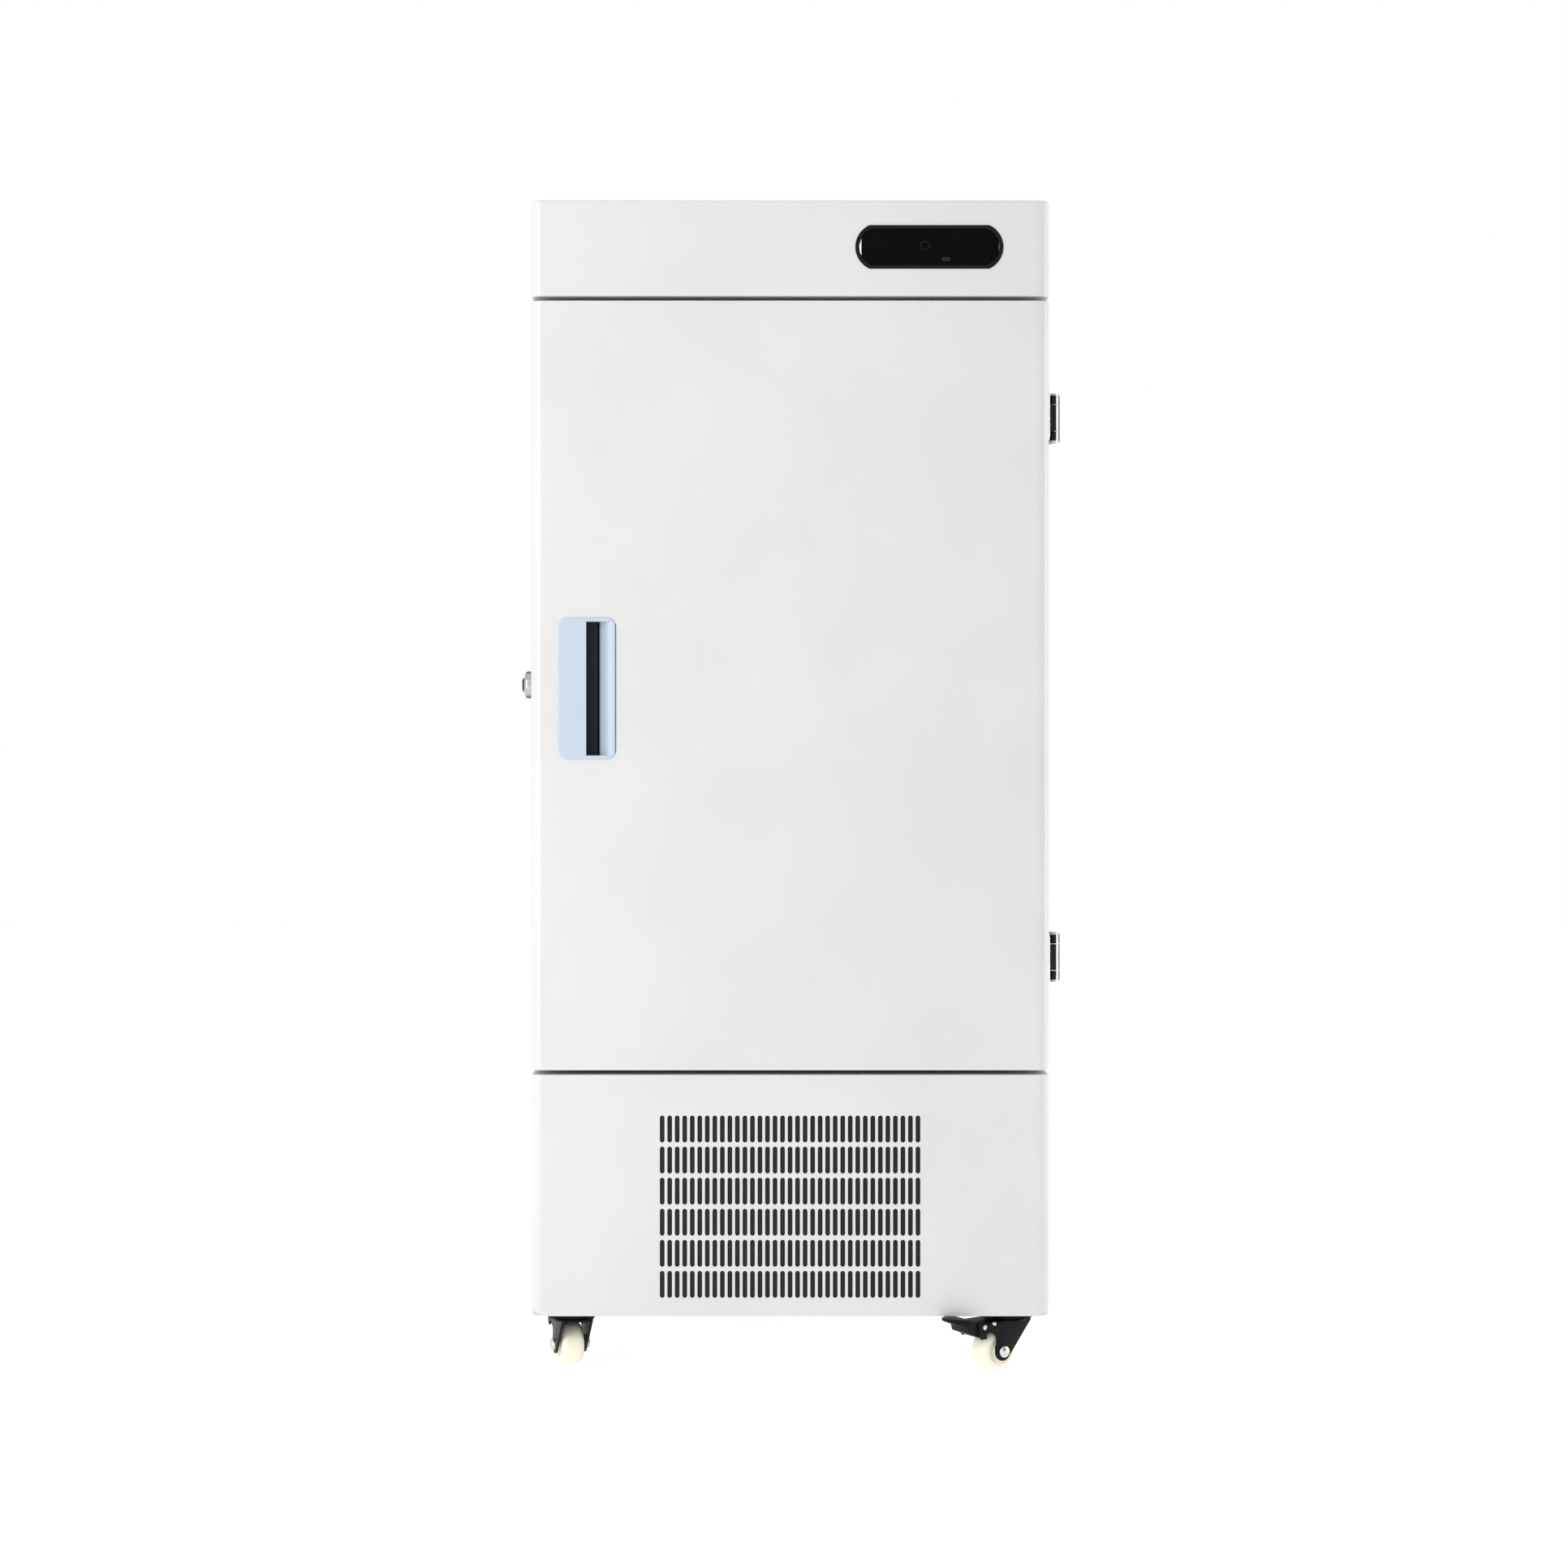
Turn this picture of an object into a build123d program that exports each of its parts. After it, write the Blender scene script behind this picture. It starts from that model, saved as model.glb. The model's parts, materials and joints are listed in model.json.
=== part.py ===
from build123d import *
import math
import os

os.makedirs("parts", exist_ok=True)

# Upright ultra low temperature freezer on four swivel casters.
# Millimetres, +Z up, the front faces -Y, origin on the floor under the middle of the cabinet.

# Overall size
cabinet_width = 600.0
cabinet_depth = 660.0
cabinet_height = 1356.0
caster_height = 68.0

# Front panels
head_height = 111.0
lower_fascia_height = 278.5
fascia_gap = 5.0
door_thickness = 68.0
gasket_thickness = 12.0
front_edge_radius = 14.0
panel_edge_radius = 3.5
door_panel_wall = 2.0
plug_height = 9.0
plug_margin = 6.0
plug_corner_radius = 10.0
plug_edge = 1.5
gasket_width = 15.0
gasket_inset = 9.0
gasket_corner_radius = 12.0
gasket_groove = 3.0

# Walls and sheets
sheet = 1.2
chassis_sheet = 2.0
liner_sheet = 1.0
plastic_wall = 3.0
panel_flange = 22.0
seat_gap = 0.3
pin_clearance = 0.05

# Cold chamber
chamber_width = 420.0
chamber_bottom_wall = 100.0
chamber_top_wall = 95.0
chamber_back_wall = 92.0
chamber_corner_radius = 12.0
inner_door_step = 10.0
inner_door_recess = 34.0
inner_door_thickness = 16.0
inner_door_gap = 4.0
inner_door_count = 2
inner_door_pin_radius = 2.0
inner_door_knuckle_radius = 4.0
inner_door_knuckle_inset = 12.0
inner_door_clearance = 2.0
inner_door_web = 3.0
inner_bracket_thickness = 2.5
inner_bracket_pin = 9.0
inner_door_border = 30.0
inner_door_dish = 4.0
inner_door_dish_radius = 14.0
inner_pull_width = 12.0
inner_pull_height = 70.0
inner_pull_depth = 9.0
shelf_count = 3
shelf_lip = 14.0
shelf_side_gap = 0.6
shelf_rear_gap = 2.0
shelf_hole_width = 36.0
shelf_hole_length = 12.0
shelf_hole_pitch_x = 60.0
shelf_hole_pitch_y = 90.0
coil_tube_radius = 4.0
coil_runs = 4
coil_width = 320.0
coil_pitch = 90.0
probe_radius = 3.0
probe_length = 90.0
probe_drop = 80.0
probe_clip_width = 24.0
probe_clip_height = 16.0
probe_clip_thickness = 2.0

# Display
display_width = 166.0
display_height = 45.3
display_end_bulge = 16.4
display_inset = 139.3
display_drop = 54.4
bezel_rim = 2.5
bezel_stand = 1.2
bezel_sleeve = 12.0
sleeve_wall = 1.8
window_thickness = 2.5
board_thickness = 1.6
control_board_width = 240.0
control_board_length = 150.0
board_post_height = 10.0
board_post_radius = 4.0
board_post_inset = 10.0
relay_size = 36.0
transformer_width = 50.0
transformer_length = 60.0
board_part_height = 28.0

# Recessed handle
handle_width = 66.5
handle_height = 163.7
handle_inset = 65.8
handle_drop = 3.55
handle_corner_radius = 11.0
handle_rim = 4.5
handle_stand = 1.6
handle_depth = 34.0
handle_wall = 2.5
handle_cover_width = 32.2
handle_cover_thickness = 4.0
handle_scoop_radius = 40.8
handle_edge_radius = 1.3

# Side hinges and side lock
hinge_spacing = 636.0
hinge_height = 60.0
hinge_lug_height = 14.0
hinge_barrel_radius = 7.5
hinge_standoff = 11.5
hinge_leaf_thickness = 3.0
hinge_leaf_length = 38.0
hinge_pin_radius = 3.0
hinge_crown_radius = 3.0
hinge_leaf_corner_radius = 8.0
hinge_screw_radius = 3.0
hinge_screw_offset = 6.0
hinge_cap = 3.0
hinge_web = 6.0
lock_lift = 2.25
lock_setback = 45.0
lock_base_radius = 16.0
lock_base_height = 7.0
lock_core_radius = 8.2
lock_core_stand = 6.0
lock_body_radius = 10.0
cam_reach = 42.0
cam_width = 12.0
cam_thickness = 2.5
cam_slot_below = 9.0
cam_slot_above = 45.0
keeper_depth = 16.0
keeper_wall = 3.0
key_slot_width = 1.6
key_slot_height = 9.0
key_slot_depth = 4.0
lock_nut_depth = 22.0
cam_pocket_margin = 3.0

# Lower grille
grille_columns = 35
grille_rows = 6
slot_width = 5.05
slot_height = 30.9
column_pitch = 8.68
row_pitch = 35.85
grille_drop = 12.95

# Machine compartment
chassis_lip = 16.0
filter_thickness = 8.0
filter_margin = 8.0
filter_corner_radius = 5.0
filter_gap = 6.0
condenser_width = 320.0
condenser_height = 236.0
condenser_thickness = 48.0
condenser_fin_pitch = 10.0
condenser_fin_gap = 6.0
condenser_fin_depth = 6.0
condenser_end = 8.0
shroud_depth = 36.0
fan_radius = 98.0
fan_ring_gap = 3.0
fan_hub_radius = 30.0
fan_blade_count = 5
fan_blade_depth = 22.0
fan_shaft_radius = 4.0
motor_radius = 38.0
motor_length = 52.0
motor_edge = 8.0
motor_arm_thickness = 4.0
motor_arm_width = 14.0
shaft_clearance = 4.0
blade_root_chord = 30.0
blade_tip_chord = 34.0
blade_thickness = 2.5
blade_sink = 3.0
blade_root_angle = 50.0
blade_tip_angle = 70.0
compressor_radius = 74.0
compressor_height = 186.0
compressor_centre_x = 128.0
compressor_centre_y = 150.0
compressor_foot_thickness = 3.0
compressor_foot_margin = 13.0
compressor_foot_radius = 12.0
foot_bolt_radius = 4.0
terminal_width = 60.0
terminal_height = 56.0
terminal_depth = 22.0
terminal_reach = 12.0
terminal_lift = 80.0
terminal_corner_radius = 6.0
grommet_height = 12.0
grommet_radius = 10.0
grommet_spread = 62.0
line_radius = 4.0
drier_radius = 12.0
drier_length = 110.0
drier_y = 20.0
drier_x = 30.0
line_bend = 16.0

# Rear service grille and power inlet
louvre_length = 120.0
louvre_height = 6.0
louvre_pitch = 20.0
louvre_rows = 7
louvre_columns = 3
louvre_drop = 90.0
louvre_column_pitch = 156.0
inlet_width = 60.0
inlet_height = 28.0
inlet_inset = 110.0
inlet_lift = 52.0
inlet_flange = 3.0
inlet_body = 32.0
inlet_edge = 4.0
inlet_corner_radius = 3.0
socket_width = 27.0
socket_height = 20.0
socket_depth = 18.0
socket_pin_width = 2.0
socket_pin_height = 6.0
socket_pin_length = 12.0
socket_pin_pitch = 7.0
rocker_width = 18.0
rocker_height = 22.0
rocker_depth = 7.0
rocker_pin_radius = 1.5
rocker_pin_reach = 1.5
rocker_pocket = 12.0
rocker_foot = 3.0
rocker_rim_rise = 6.0
rocker_dip = 1.2

# Casters
wheel_radius = 25.0
wheel_width = 27.0
wheel_edge_radius = 8.0
caster_trail = 20.0
caster_inset_x = 47.0
caster_inset_y = 38.0
caster_plate_size = 57.0
caster_plate_thickness = 3.0
race_radius = 21.0
race_height = 5.0
fork_sheet = 2.5
fork_half_gap = 16.0
fork_top_radius = 24.0
fork_lead = 21.5
fork_boss_radius = 11.0
king_pin_radius = 4.0
axle_radius = 4.0
axle_head_radius = 7.0
axle_head_height = 5.5
caster_bolt_radius = 3.0
caster_bolt_spread = 42.0
pedal_pivot_trail = 48.0
pedal_pivot_drop = 8.0
pedal_pin_radius = 3.0
pedal_reach = 94.0
pedal_tip_radius = 9.0
pedal_tip_low = 6.0
pedal_tip_high = 3.5
pedal_waist = 78.0
pedal_pivot_boss = 5.0
king_head_radius = 8.0
king_head_height = 3.0
bolt_head_height = 2.6
bolt_head_radius = 5.0
bolt_end = 3.0
plate_corner_radius = 6.0
fork_tail = 30.0
braked_fork_tail = 56.0
fork_arch_trail = 40.5
fork_arch_height = 37.0
fork_arch_radius = 11.5
fork_beak_height = 46.0
fork_beak_step = 4.5
fork_web_overlap = 6.0
hub_radius = 9.0
hub_step = 1.5
axle_head_chamfer = 1.8
axle_nut_radius = 7.2
axle_nut_height = 4.5
axle_end = 1.0
front_left_trail_angle = 107.0
front_right_trail_angle = 215.0
rear_left_trail_angle = 120.0
rear_right_trail_angle = 75.0

# Places worked out from the sizes above
half_width = cabinet_width / 2
front_y = -cabinet_depth / 2
back_y = cabinet_depth / 2
door_back_y = front_y + door_thickness
case_front_y = door_back_y + gasket_thickness
floor_z = caster_height
lower_top_z = caster_height + lower_fascia_height
door_bottom_z = lower_top_z + fascia_gap
head_bottom_z = cabinet_height - head_height
door_top_z = head_bottom_z - fascia_gap
door_centre_z = (door_bottom_z + door_top_z) / 2
display_centre_x = half_width - display_inset
display_centre_z = cabinet_height - display_drop
handle_centre_x = -half_width + handle_inset
handle_centre_z = door_centre_z - handle_drop
lock_centre_z = door_centre_z + lock_lift
grille_centre_z = (floor_z + lower_top_z) / 2 - grille_drop
chamber_half = chamber_width / 2
chamber_bottom_z = lower_top_z + chamber_bottom_wall
chamber_top_z = head_bottom_z - chamber_top_wall
chamber_centre_z = (chamber_bottom_z + chamber_top_z) / 2
chamber_tall = chamber_top_z - chamber_bottom_z
chamber_back_y = back_y - chamber_back_wall
recess_back_y = case_front_y + inner_door_recess
opening_half = chamber_half + inner_door_step
opening_tall = chamber_tall + 2 * inner_door_step
chassis_top_z = floor_z + chassis_sheet


def extruded_rectangle(plane, width, height, depth, radius=0.0):
    """Rectangle with rounded corners, centred on a plane and extruded along its normal."""
    with BuildPart() as block:
        with BuildSketch(plane):
            if radius > 0:
                RectangleRounded(width, height, radius)
            else:
                Rectangle(width, height)
        extrude(amount=depth)
    return block.part


def front_plane(x, y, z):
    """Upright plane whose normal points to the rear: sketch x runs to the left (-X), sketch y runs up."""
    return Plane(origin=(x, y, z), x_dir=(-1, 0, 0), z_dir=(0, 1, 0))


def front_block(bottom_z, top_z, rear_y, inset=0.0, eased_bottom=True):
    """Block behind a front panel, with rolled upright front edges and eased top and bottom edges."""
    with BuildPart() as block:
        with BuildSketch(Plane.XY.offset(bottom_z)):
            with Locations((0, (front_y + inset + rear_y) / 2)):
                Rectangle(cabinet_width - 2 * inset, rear_y - front_y - inset)
        extrude(amount=top_z - bottom_z)
        fillet(block.edges().filter_by(Axis.Z).sort_by(Axis.Y)[:2], front_edge_radius - inset)
        eased = block.edges().group_by(Axis.Z)[-1].sort_by(Axis.Y)[:-1]
        if eased_bottom:
            eased = eased + block.edges().group_by(Axis.Z)[0].sort_by(Axis.Y)[:-1]
        fillet(eased, panel_edge_radius - inset)
    return block.part


# Head fascia: folded sheet, open to the rear, with the window cut-out
def display_outline(margin):
    """Long window with bulged ends, grown by a margin."""
    half_long = display_width / 2 + margin
    half_tall = display_height / 2 + margin
    shoulder = half_long - display_end_bulge
    with BuildSketch() as outline:
        with BuildLine():
            Line((-shoulder, half_tall), (shoulder, half_tall))
            ThreePointArc((shoulder, half_tall), (half_long, 0), (shoulder, -half_tall))
            Line((shoulder, -half_tall), (-shoulder, -half_tall))
            ThreePointArc((-shoulder, -half_tall), (-half_long, 0), (-shoulder, half_tall))
        make_face()
    return outline.sketch


def display_block(margin, start_y, depth):
    """The window outline as a block that starts at a depth and runs rearwards."""
    with BuildPart() as block:
        with BuildSketch(front_plane(display_centre_x, start_y, display_centre_z)):
            add(display_outline(margin))
        extrude(amount=depth)
    return block.part


with BuildPart() as head_fascia:
    add(front_block(head_bottom_z, cabinet_height, case_front_y))
    add(front_block(head_bottom_z + sheet, cabinet_height - sheet, case_front_y, sheet), mode=Mode.SUBTRACT)
    add(display_block(0.0, front_y - sheet, 3 * sheet), mode=Mode.SUBTRACT)
head_fascia.part.label = "head_fascia"
export_step(head_fascia.part, "parts/head_fascia.step")

with BuildPart() as display_bezel:
    add(display_block(bezel_rim, front_y - bezel_stand, bezel_stand))
    add(display_block(0.0, front_y, bezel_sleeve))
    add(display_block(-sleeve_wall, front_y - bezel_stand, bezel_stand + bezel_sleeve), mode=Mode.SUBTRACT)
    chamfer(display_bezel.faces().sort_by(Axis.Y)[0].outer_wire().edges(), bezel_stand / 2)
display_bezel.part.label = "display_bezel"
export_step(display_bezel.part, "parts/display_bezel.step")

with BuildPart() as display_window:
    add(display_block(-sleeve_wall, front_y - bezel_stand / 2, window_thickness))
display_window.part.label = "display_window"
export_step(display_window.part, "parts/display_window.step")

# Circuit boards: one closes the rear of the display sleeve, one stands on the deck above the foam
with BuildPart() as circuit_boards:
    add(display_block(0.0, front_y + bezel_sleeve, board_thickness))
    with BuildSketch(Plane.XY.offset(head_bottom_z + board_post_height)):
        Rectangle(control_board_width, control_board_length)
    extrude(amount=board_thickness)
    with BuildSketch(Plane.XY.offset(head_bottom_z)):
        with GridLocations(
            control_board_width - 2 * board_post_inset,
            control_board_length - 2 * board_post_inset,
            2,
            2,
        ):
            Circle(board_post_radius)
    extrude(amount=board_post_height)
    with BuildSketch(Plane.XY.offset(head_bottom_z + board_post_height + board_thickness)):
        with Locations((-control_board_width / 4, 0)):
            Rectangle(transformer_width, transformer_length)
        with Locations((control_board_width / 4, 0)):
            Rectangle(relay_size, relay_size)
    extrude(amount=board_part_height)
circuit_boards.part.label = "circuit_boards"
export_step(circuit_boards.part, "parts/circuit_boards.step")

# Lower fascia: folded sheet, open below and behind, with rows of upright slots
with BuildSketch() as slot:
    Rectangle(slot_width, slot_height)
    chamfer(slot.vertices(), slot_width * 0.3)

with BuildPart() as lower_fascia:
    add(front_block(floor_z, lower_top_z, case_front_y, eased_bottom=False))
    add(
        front_block(floor_z - sheet, lower_top_z - sheet, case_front_y, sheet, eased_bottom=False),
        mode=Mode.SUBTRACT,
    )
    with BuildSketch(front_plane(0, front_y - sheet, grille_centre_z)):
        with GridLocations(column_pitch, row_pitch, grille_columns, grille_rows):
            add(slot.sketch)
    extrude(amount=3 * sheet, mode=Mode.SUBTRACT)
lower_fascia.part.label = "lower_fascia"
export_step(lower_fascia.part, "parts/lower_fascia.step")

grille_width = (grille_columns - 1) * column_pitch + slot_width
grille_tall = (grille_rows - 1) * row_pitch + slot_height
filter_front_y = front_y + sheet
filter_bottom_z = floor_z + chassis_lip
filter_top_z = grille_centre_z + grille_tall / 2 + filter_margin
with BuildPart() as air_filter:
    filter_plane = front_plane(0, filter_front_y, (filter_bottom_z + filter_top_z) / 2)
    with BuildSketch(filter_plane):
        RectangleRounded(
            grille_width + 2 * filter_margin, filter_top_z - filter_bottom_z, filter_corner_radius
        )
    extrude(amount=filter_thickness)
    with BuildSketch(filter_plane.offset(filter_thickness)):
        Rectangle(grille_width, filter_top_z - filter_bottom_z - 2 * filter_margin)
    extrude(amount=-filter_thickness / 2, mode=Mode.SUBTRACT)
air_filter.part.label = "air_filter"
export_step(air_filter.part, "parts/air_filter.step")


# Cabinet shell: folded side panels, decks, top cover and rear panels
def side_panel(side):
    """Folded side sheet whose flanges return inwards at the front and the rear."""
    length = back_y - case_front_y
    with BuildPart() as panel:
        with BuildSketch(Plane.XY.offset(floor_z)):
            with Locations((side * (half_width - panel_flange / 2), case_front_y + length / 2)):
                Rectangle(panel_flange, length)
            with Locations((side * (half_width - sheet - panel_flange / 2), case_front_y + length / 2)):
                Rectangle(panel_flange, length - 2 * sheet, mode=Mode.SUBTRACT)
        extrude(amount=cabinet_height - sheet - floor_z)
        with BuildSketch(Plane.XY.offset(floor_z)):
            with Locations((side * (half_width - sheet - panel_flange / 2), case_front_y + sheet / 2)):
                Rectangle(panel_flange, sheet)
        extrude(amount=chassis_lip, mode=Mode.SUBTRACT)
    return panel.part


keeper_slot_height = cam_slot_below + cam_slot_above
keeper_slot_z = lock_centre_z + (cam_slot_above - cam_slot_below) / 2
keeper_slot_width = cam_thickness + 4 * seat_gap
keeper_slot_x = -half_width + sheet + keeper_slot_width / 2
with BuildPart() as left_side_panel:
    add(side_panel(-1))
    with BuildSketch(front_plane(keeper_slot_x, case_front_y - sheet, keeper_slot_z)):
        Rectangle(keeper_slot_width, keeper_slot_height)
    extrude(amount=3 * sheet, mode=Mode.SUBTRACT)
left_side_panel.part.label = "left_side_panel"
export_step(left_side_panel.part, "parts/left_side_panel.step")

with BuildPart() as right_side_panel:
    add(side_panel(1))
right_side_panel.part.label = "right_side_panel"
export_step(right_side_panel.part, "parts/right_side_panel.step")

inner_case_width = cabinet_width - 2 * sheet
deck_front_y = case_front_y + plastic_wall
deck_length = back_y - sheet - deck_front_y
deck_centre_y = deck_front_y + deck_length / 2


def deck(level_z):
    """Flat sheet across the cabinet at a level."""
    return extruded_rectangle(
        Plane(origin=(0, deck_centre_y, level_z)), inner_case_width, deck_length, sheet
    )


riser_slot_width = 60.0
riser_slot_depth = 20.0
riser_y = chamber_back_y + liner_sheet + riser_slot_depth / 2
with BuildPart() as machine_deck:
    add(deck(lower_top_z))
    with BuildSketch(Plane.XY.offset(lower_top_z)):
        with Locations((0, riser_y)):
            Rectangle(riser_slot_width, riser_slot_depth)
    extrude(amount=sheet, mode=Mode.SUBTRACT)
machine_deck.part.label = "machine_deck"
export_step(machine_deck.part, "parts/machine_deck.step")

with BuildPart() as electronics_deck:
    add(deck(head_bottom_z - sheet))
electronics_deck.part.label = "electronics_deck"
export_step(electronics_deck.part, "parts/electronics_deck.step")

with BuildPart() as top_cover:
    with BuildSketch(Plane.XY.offset(cabinet_height - sheet)):
        with Locations((0, (case_front_y + back_y) / 2)):
            Rectangle(cabinet_width, back_y - case_front_y)
    extrude(amount=sheet)
    with BuildSketch(Plane.XY.offset(cabinet_height - sheet)):
        for lip_y in (case_front_y + sheet * 1.5 + seat_gap, back_y - sheet * 1.5 - seat_gap):
            with Locations((0, lip_y)):
                Rectangle(cabinet_width - 2 * panel_flange - 2 * sheet, sheet)
    extrude(amount=-panel_flange)
top_cover.part.label = "top_cover"
export_step(top_cover.part, "parts/top_cover.step")

rear_width = cabinet_width - 2 * panel_flange
with BuildPart() as rear_panel:
    with BuildSketch(front_plane(0, back_y - sheet, (lower_top_z + cabinet_height - sheet) / 2)):
        Rectangle(rear_width, cabinet_height - sheet - lower_top_z)
    extrude(amount=sheet)
rear_panel.part.label = "rear_panel"
export_step(rear_panel.part, "parts/rear_panel.step")

# Rear service grille: flat sheet with three columns of louvres and the inlet cut-out
inlet_x = half_width - inlet_inset
inlet_z = floor_z + inlet_lift
service_centre_z = (floor_z + lower_top_z) / 2
with BuildPart() as rear_service_grille:
    service_plane = front_plane(0, back_y - sheet, service_centre_z)
    with BuildSketch(service_plane):
        Rectangle(rear_width, lower_fascia_height)
        with Locations((0, lower_fascia_height / 2 - louvre_drop)):
            with GridLocations(louvre_column_pitch, louvre_pitch, louvre_columns, louvre_rows):
                Rectangle(louvre_length, louvre_height, mode=Mode.SUBTRACT)
        with Locations((-inlet_x, inlet_z - service_centre_z)):
            Rectangle(inlet_width, inlet_height, mode=Mode.SUBTRACT)
    extrude(amount=sheet)
rear_service_grille.part.label = "rear_service_grille"
export_step(rear_service_grille.part, "parts/rear_service_grille.step")

# Power inlet with a rocker switch beside the socket
rocker_x = inlet_x + inlet_width / 2 - rocker_width / 2 - inlet_edge
socket_x = inlet_x - inlet_width / 5
inlet_face_y = back_y + inlet_flange
with BuildPart() as power_inlet:
    add(
        extruded_rectangle(
            front_plane(inlet_x, inlet_face_y - inlet_flange - inlet_body, inlet_z),
            inlet_width - 2 * seat_gap,
            inlet_height - 2 * seat_gap,
            inlet_body,
        )
    )
    add(
        extruded_rectangle(
            front_plane(inlet_x, back_y, inlet_z),
            inlet_width + 2 * inlet_edge,
            inlet_height + 2 * inlet_edge,
            inlet_flange,
            inlet_corner_radius,
        )
    )
    with BuildSketch(front_plane(socket_x, inlet_face_y, inlet_z)):
        RectangleRounded(socket_width, socket_height, inlet_corner_radius)
    extrude(amount=-socket_depth, mode=Mode.SUBTRACT)
    with BuildSketch(front_plane(socket_x, inlet_face_y - socket_depth, inlet_z)):
        with GridLocations(socket_pin_pitch, 0, 3, 1):
            Rectangle(socket_pin_width, socket_pin_height)
    extrude(amount=socket_pin_length)
    with BuildSketch(front_plane(rocker_x, inlet_face_y, inlet_z)):
        Rectangle(rocker_width + 4 * seat_gap, rocker_height + 8 * seat_gap)
    extrude(amount=-rocker_pocket, mode=Mode.SUBTRACT)
    with BuildSketch(Plane.YZ.offset(rocker_x - rocker_width / 2 - rocker_pin_reach - seat_gap)):
        with Locations((inlet_face_y - rocker_depth, inlet_z)):
            Circle(rocker_pin_radius + pin_clearance)
    extrude(amount=rocker_width + 2 * rocker_pin_reach + 2 * seat_gap, mode=Mode.SUBTRACT)
power_inlet.part.label = "power_inlet"
export_step(power_inlet.part, "parts/power_inlet.step")

with BuildPart() as power_switch_rocker:
    rocker_start = (rocker_x - rocker_width / 2, inlet_face_y - rocker_depth, inlet_z)
    with BuildSketch(Plane(origin=rocker_start, x_dir=(0, 1, 0), z_dir=(1, 0, 0))):
        with BuildLine():
            half_rocker = rocker_height / 2
            Polyline(
                (-rocker_foot, -half_rocker + rocker_foot),
                (rocker_rim_rise, -half_rocker),
                (rocker_rim_rise - rocker_dip, 0),
                (rocker_rim_rise, half_rocker),
                (-rocker_foot, half_rocker - rocker_foot),
                close=True,
            )
        make_face()
    extrude(amount=rocker_width)
    with BuildSketch(Plane.YZ.offset(rocker_x - rocker_width / 2 - rocker_pin_reach)):
        with Locations((inlet_face_y - rocker_depth, inlet_z)):
            Circle(rocker_pin_radius)
    extrude(amount=rocker_width + 2 * rocker_pin_reach)
power_switch_rocker.part.label = "power_switch_rocker"
export_step(power_switch_rocker.part, "parts/power_switch_rocker.step")

# Base chassis: a folded pan that reaches forward inside the lower fascia
with BuildPart() as base_chassis:
    with BuildSketch(Plane.XY.offset(floor_z)) as pan:
        with Locations((0, (front_y + back_y) / 2)):
            Rectangle(inner_case_width, cabinet_depth - 2 * sheet)
        fillet(pan.vertices().group_by(Axis.Y)[0], front_edge_radius - sheet)
    extrude(amount=chassis_lip)
    with BuildSketch(Plane.XY.offset(chassis_top_z)) as tray:
        with Locations((0, (front_y + back_y) / 2)):
            Rectangle(inner_case_width - 2 * chassis_sheet, cabinet_depth - 2 * sheet - 2 * chassis_sheet)
        fillet(tray.vertices().group_by(Axis.Y)[0], front_edge_radius - sheet - chassis_sheet)
    extrude(amount=chassis_lip, mode=Mode.SUBTRACT)
    with BuildSketch(Plane.XY.offset(floor_z)):
        with GridLocations(cabinet_width - 2 * caster_inset_x, cabinet_depth - 2 * caster_inset_y, 2, 2):
            with GridLocations(caster_bolt_spread, caster_bolt_spread, 2, 2):
                Circle(caster_bolt_radius + pin_clearance)
    extrude(amount=chassis_sheet, mode=Mode.SUBTRACT)
base_chassis.part.label = "base_chassis"
export_step(base_chassis.part, "parts/base_chassis.step")


# Foamed box: foam, liner, breaker frame and what hangs on them
def chamber_block(wall, start_y, end_y):
    """The chamber grown by a wall, between two depths, with rounded long edges."""
    return extruded_rectangle(
        front_plane(0, start_y, chamber_centre_z),
        chamber_width + 2 * wall,
        chamber_tall + 2 * wall,
        end_y - start_y,
        chamber_corner_radius + wall,
    )


def recess_block(wall, start_y, end_y):
    """The inner-door recess grown by a wall, between two depths."""
    return extruded_rectangle(
        front_plane(0, start_y, chamber_centre_z),
        2 * opening_half + 2 * wall,
        opening_tall + 2 * wall,
        end_y - start_y,
    )


coil_pocket = 2 * (coil_tube_radius + seat_gap)
coil_centre_y = chamber_back_y + liner_sheet + seat_gap + coil_tube_radius
coil_tall = (coil_runs - 1) * coil_pitch
liner_front_y = recess_back_y
liner_flange_y = liner_front_y + liner_sheet
foam_bottom_z = lower_top_z + sheet
foam_top_z = head_bottom_z - sheet
with BuildPart() as insulation_foam:
    with BuildSketch(Plane.XY.offset(foam_bottom_z)):
        with Locations((0, deck_centre_y)):
            Rectangle(inner_case_width, deck_length)
    extrude(amount=foam_top_z - foam_bottom_z)
    add(recess_block(plastic_wall, case_front_y, liner_flange_y), mode=Mode.SUBTRACT)
    add(chamber_block(liner_sheet, liner_front_y, chamber_back_y + liner_sheet), mode=Mode.SUBTRACT)
    with BuildSketch(front_plane(0, chamber_back_y + liner_sheet, chamber_centre_z)):
        Rectangle(coil_width + 6 * coil_tube_radius, coil_tall + 6 * coil_tube_radius)
    extrude(amount=coil_pocket, mode=Mode.SUBTRACT)
    with BuildSketch(Plane.XY.offset(foam_bottom_z)):
        with Locations((0, riser_y)):
            Rectangle(riser_slot_width, riser_slot_depth)
    extrude(amount=chamber_centre_z - coil_tall / 2 - foam_bottom_z, mode=Mode.SUBTRACT)
    with BuildSketch(front_plane(keeper_slot_x, case_front_y, keeper_slot_z)):
        Rectangle(
            keeper_slot_width + 2 * keeper_wall + 2 * seat_gap,
            keeper_slot_height + 2 * keeper_wall + 2 * seat_gap,
        )
    extrude(amount=sheet + keeper_depth + seat_gap, mode=Mode.SUBTRACT)
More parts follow.
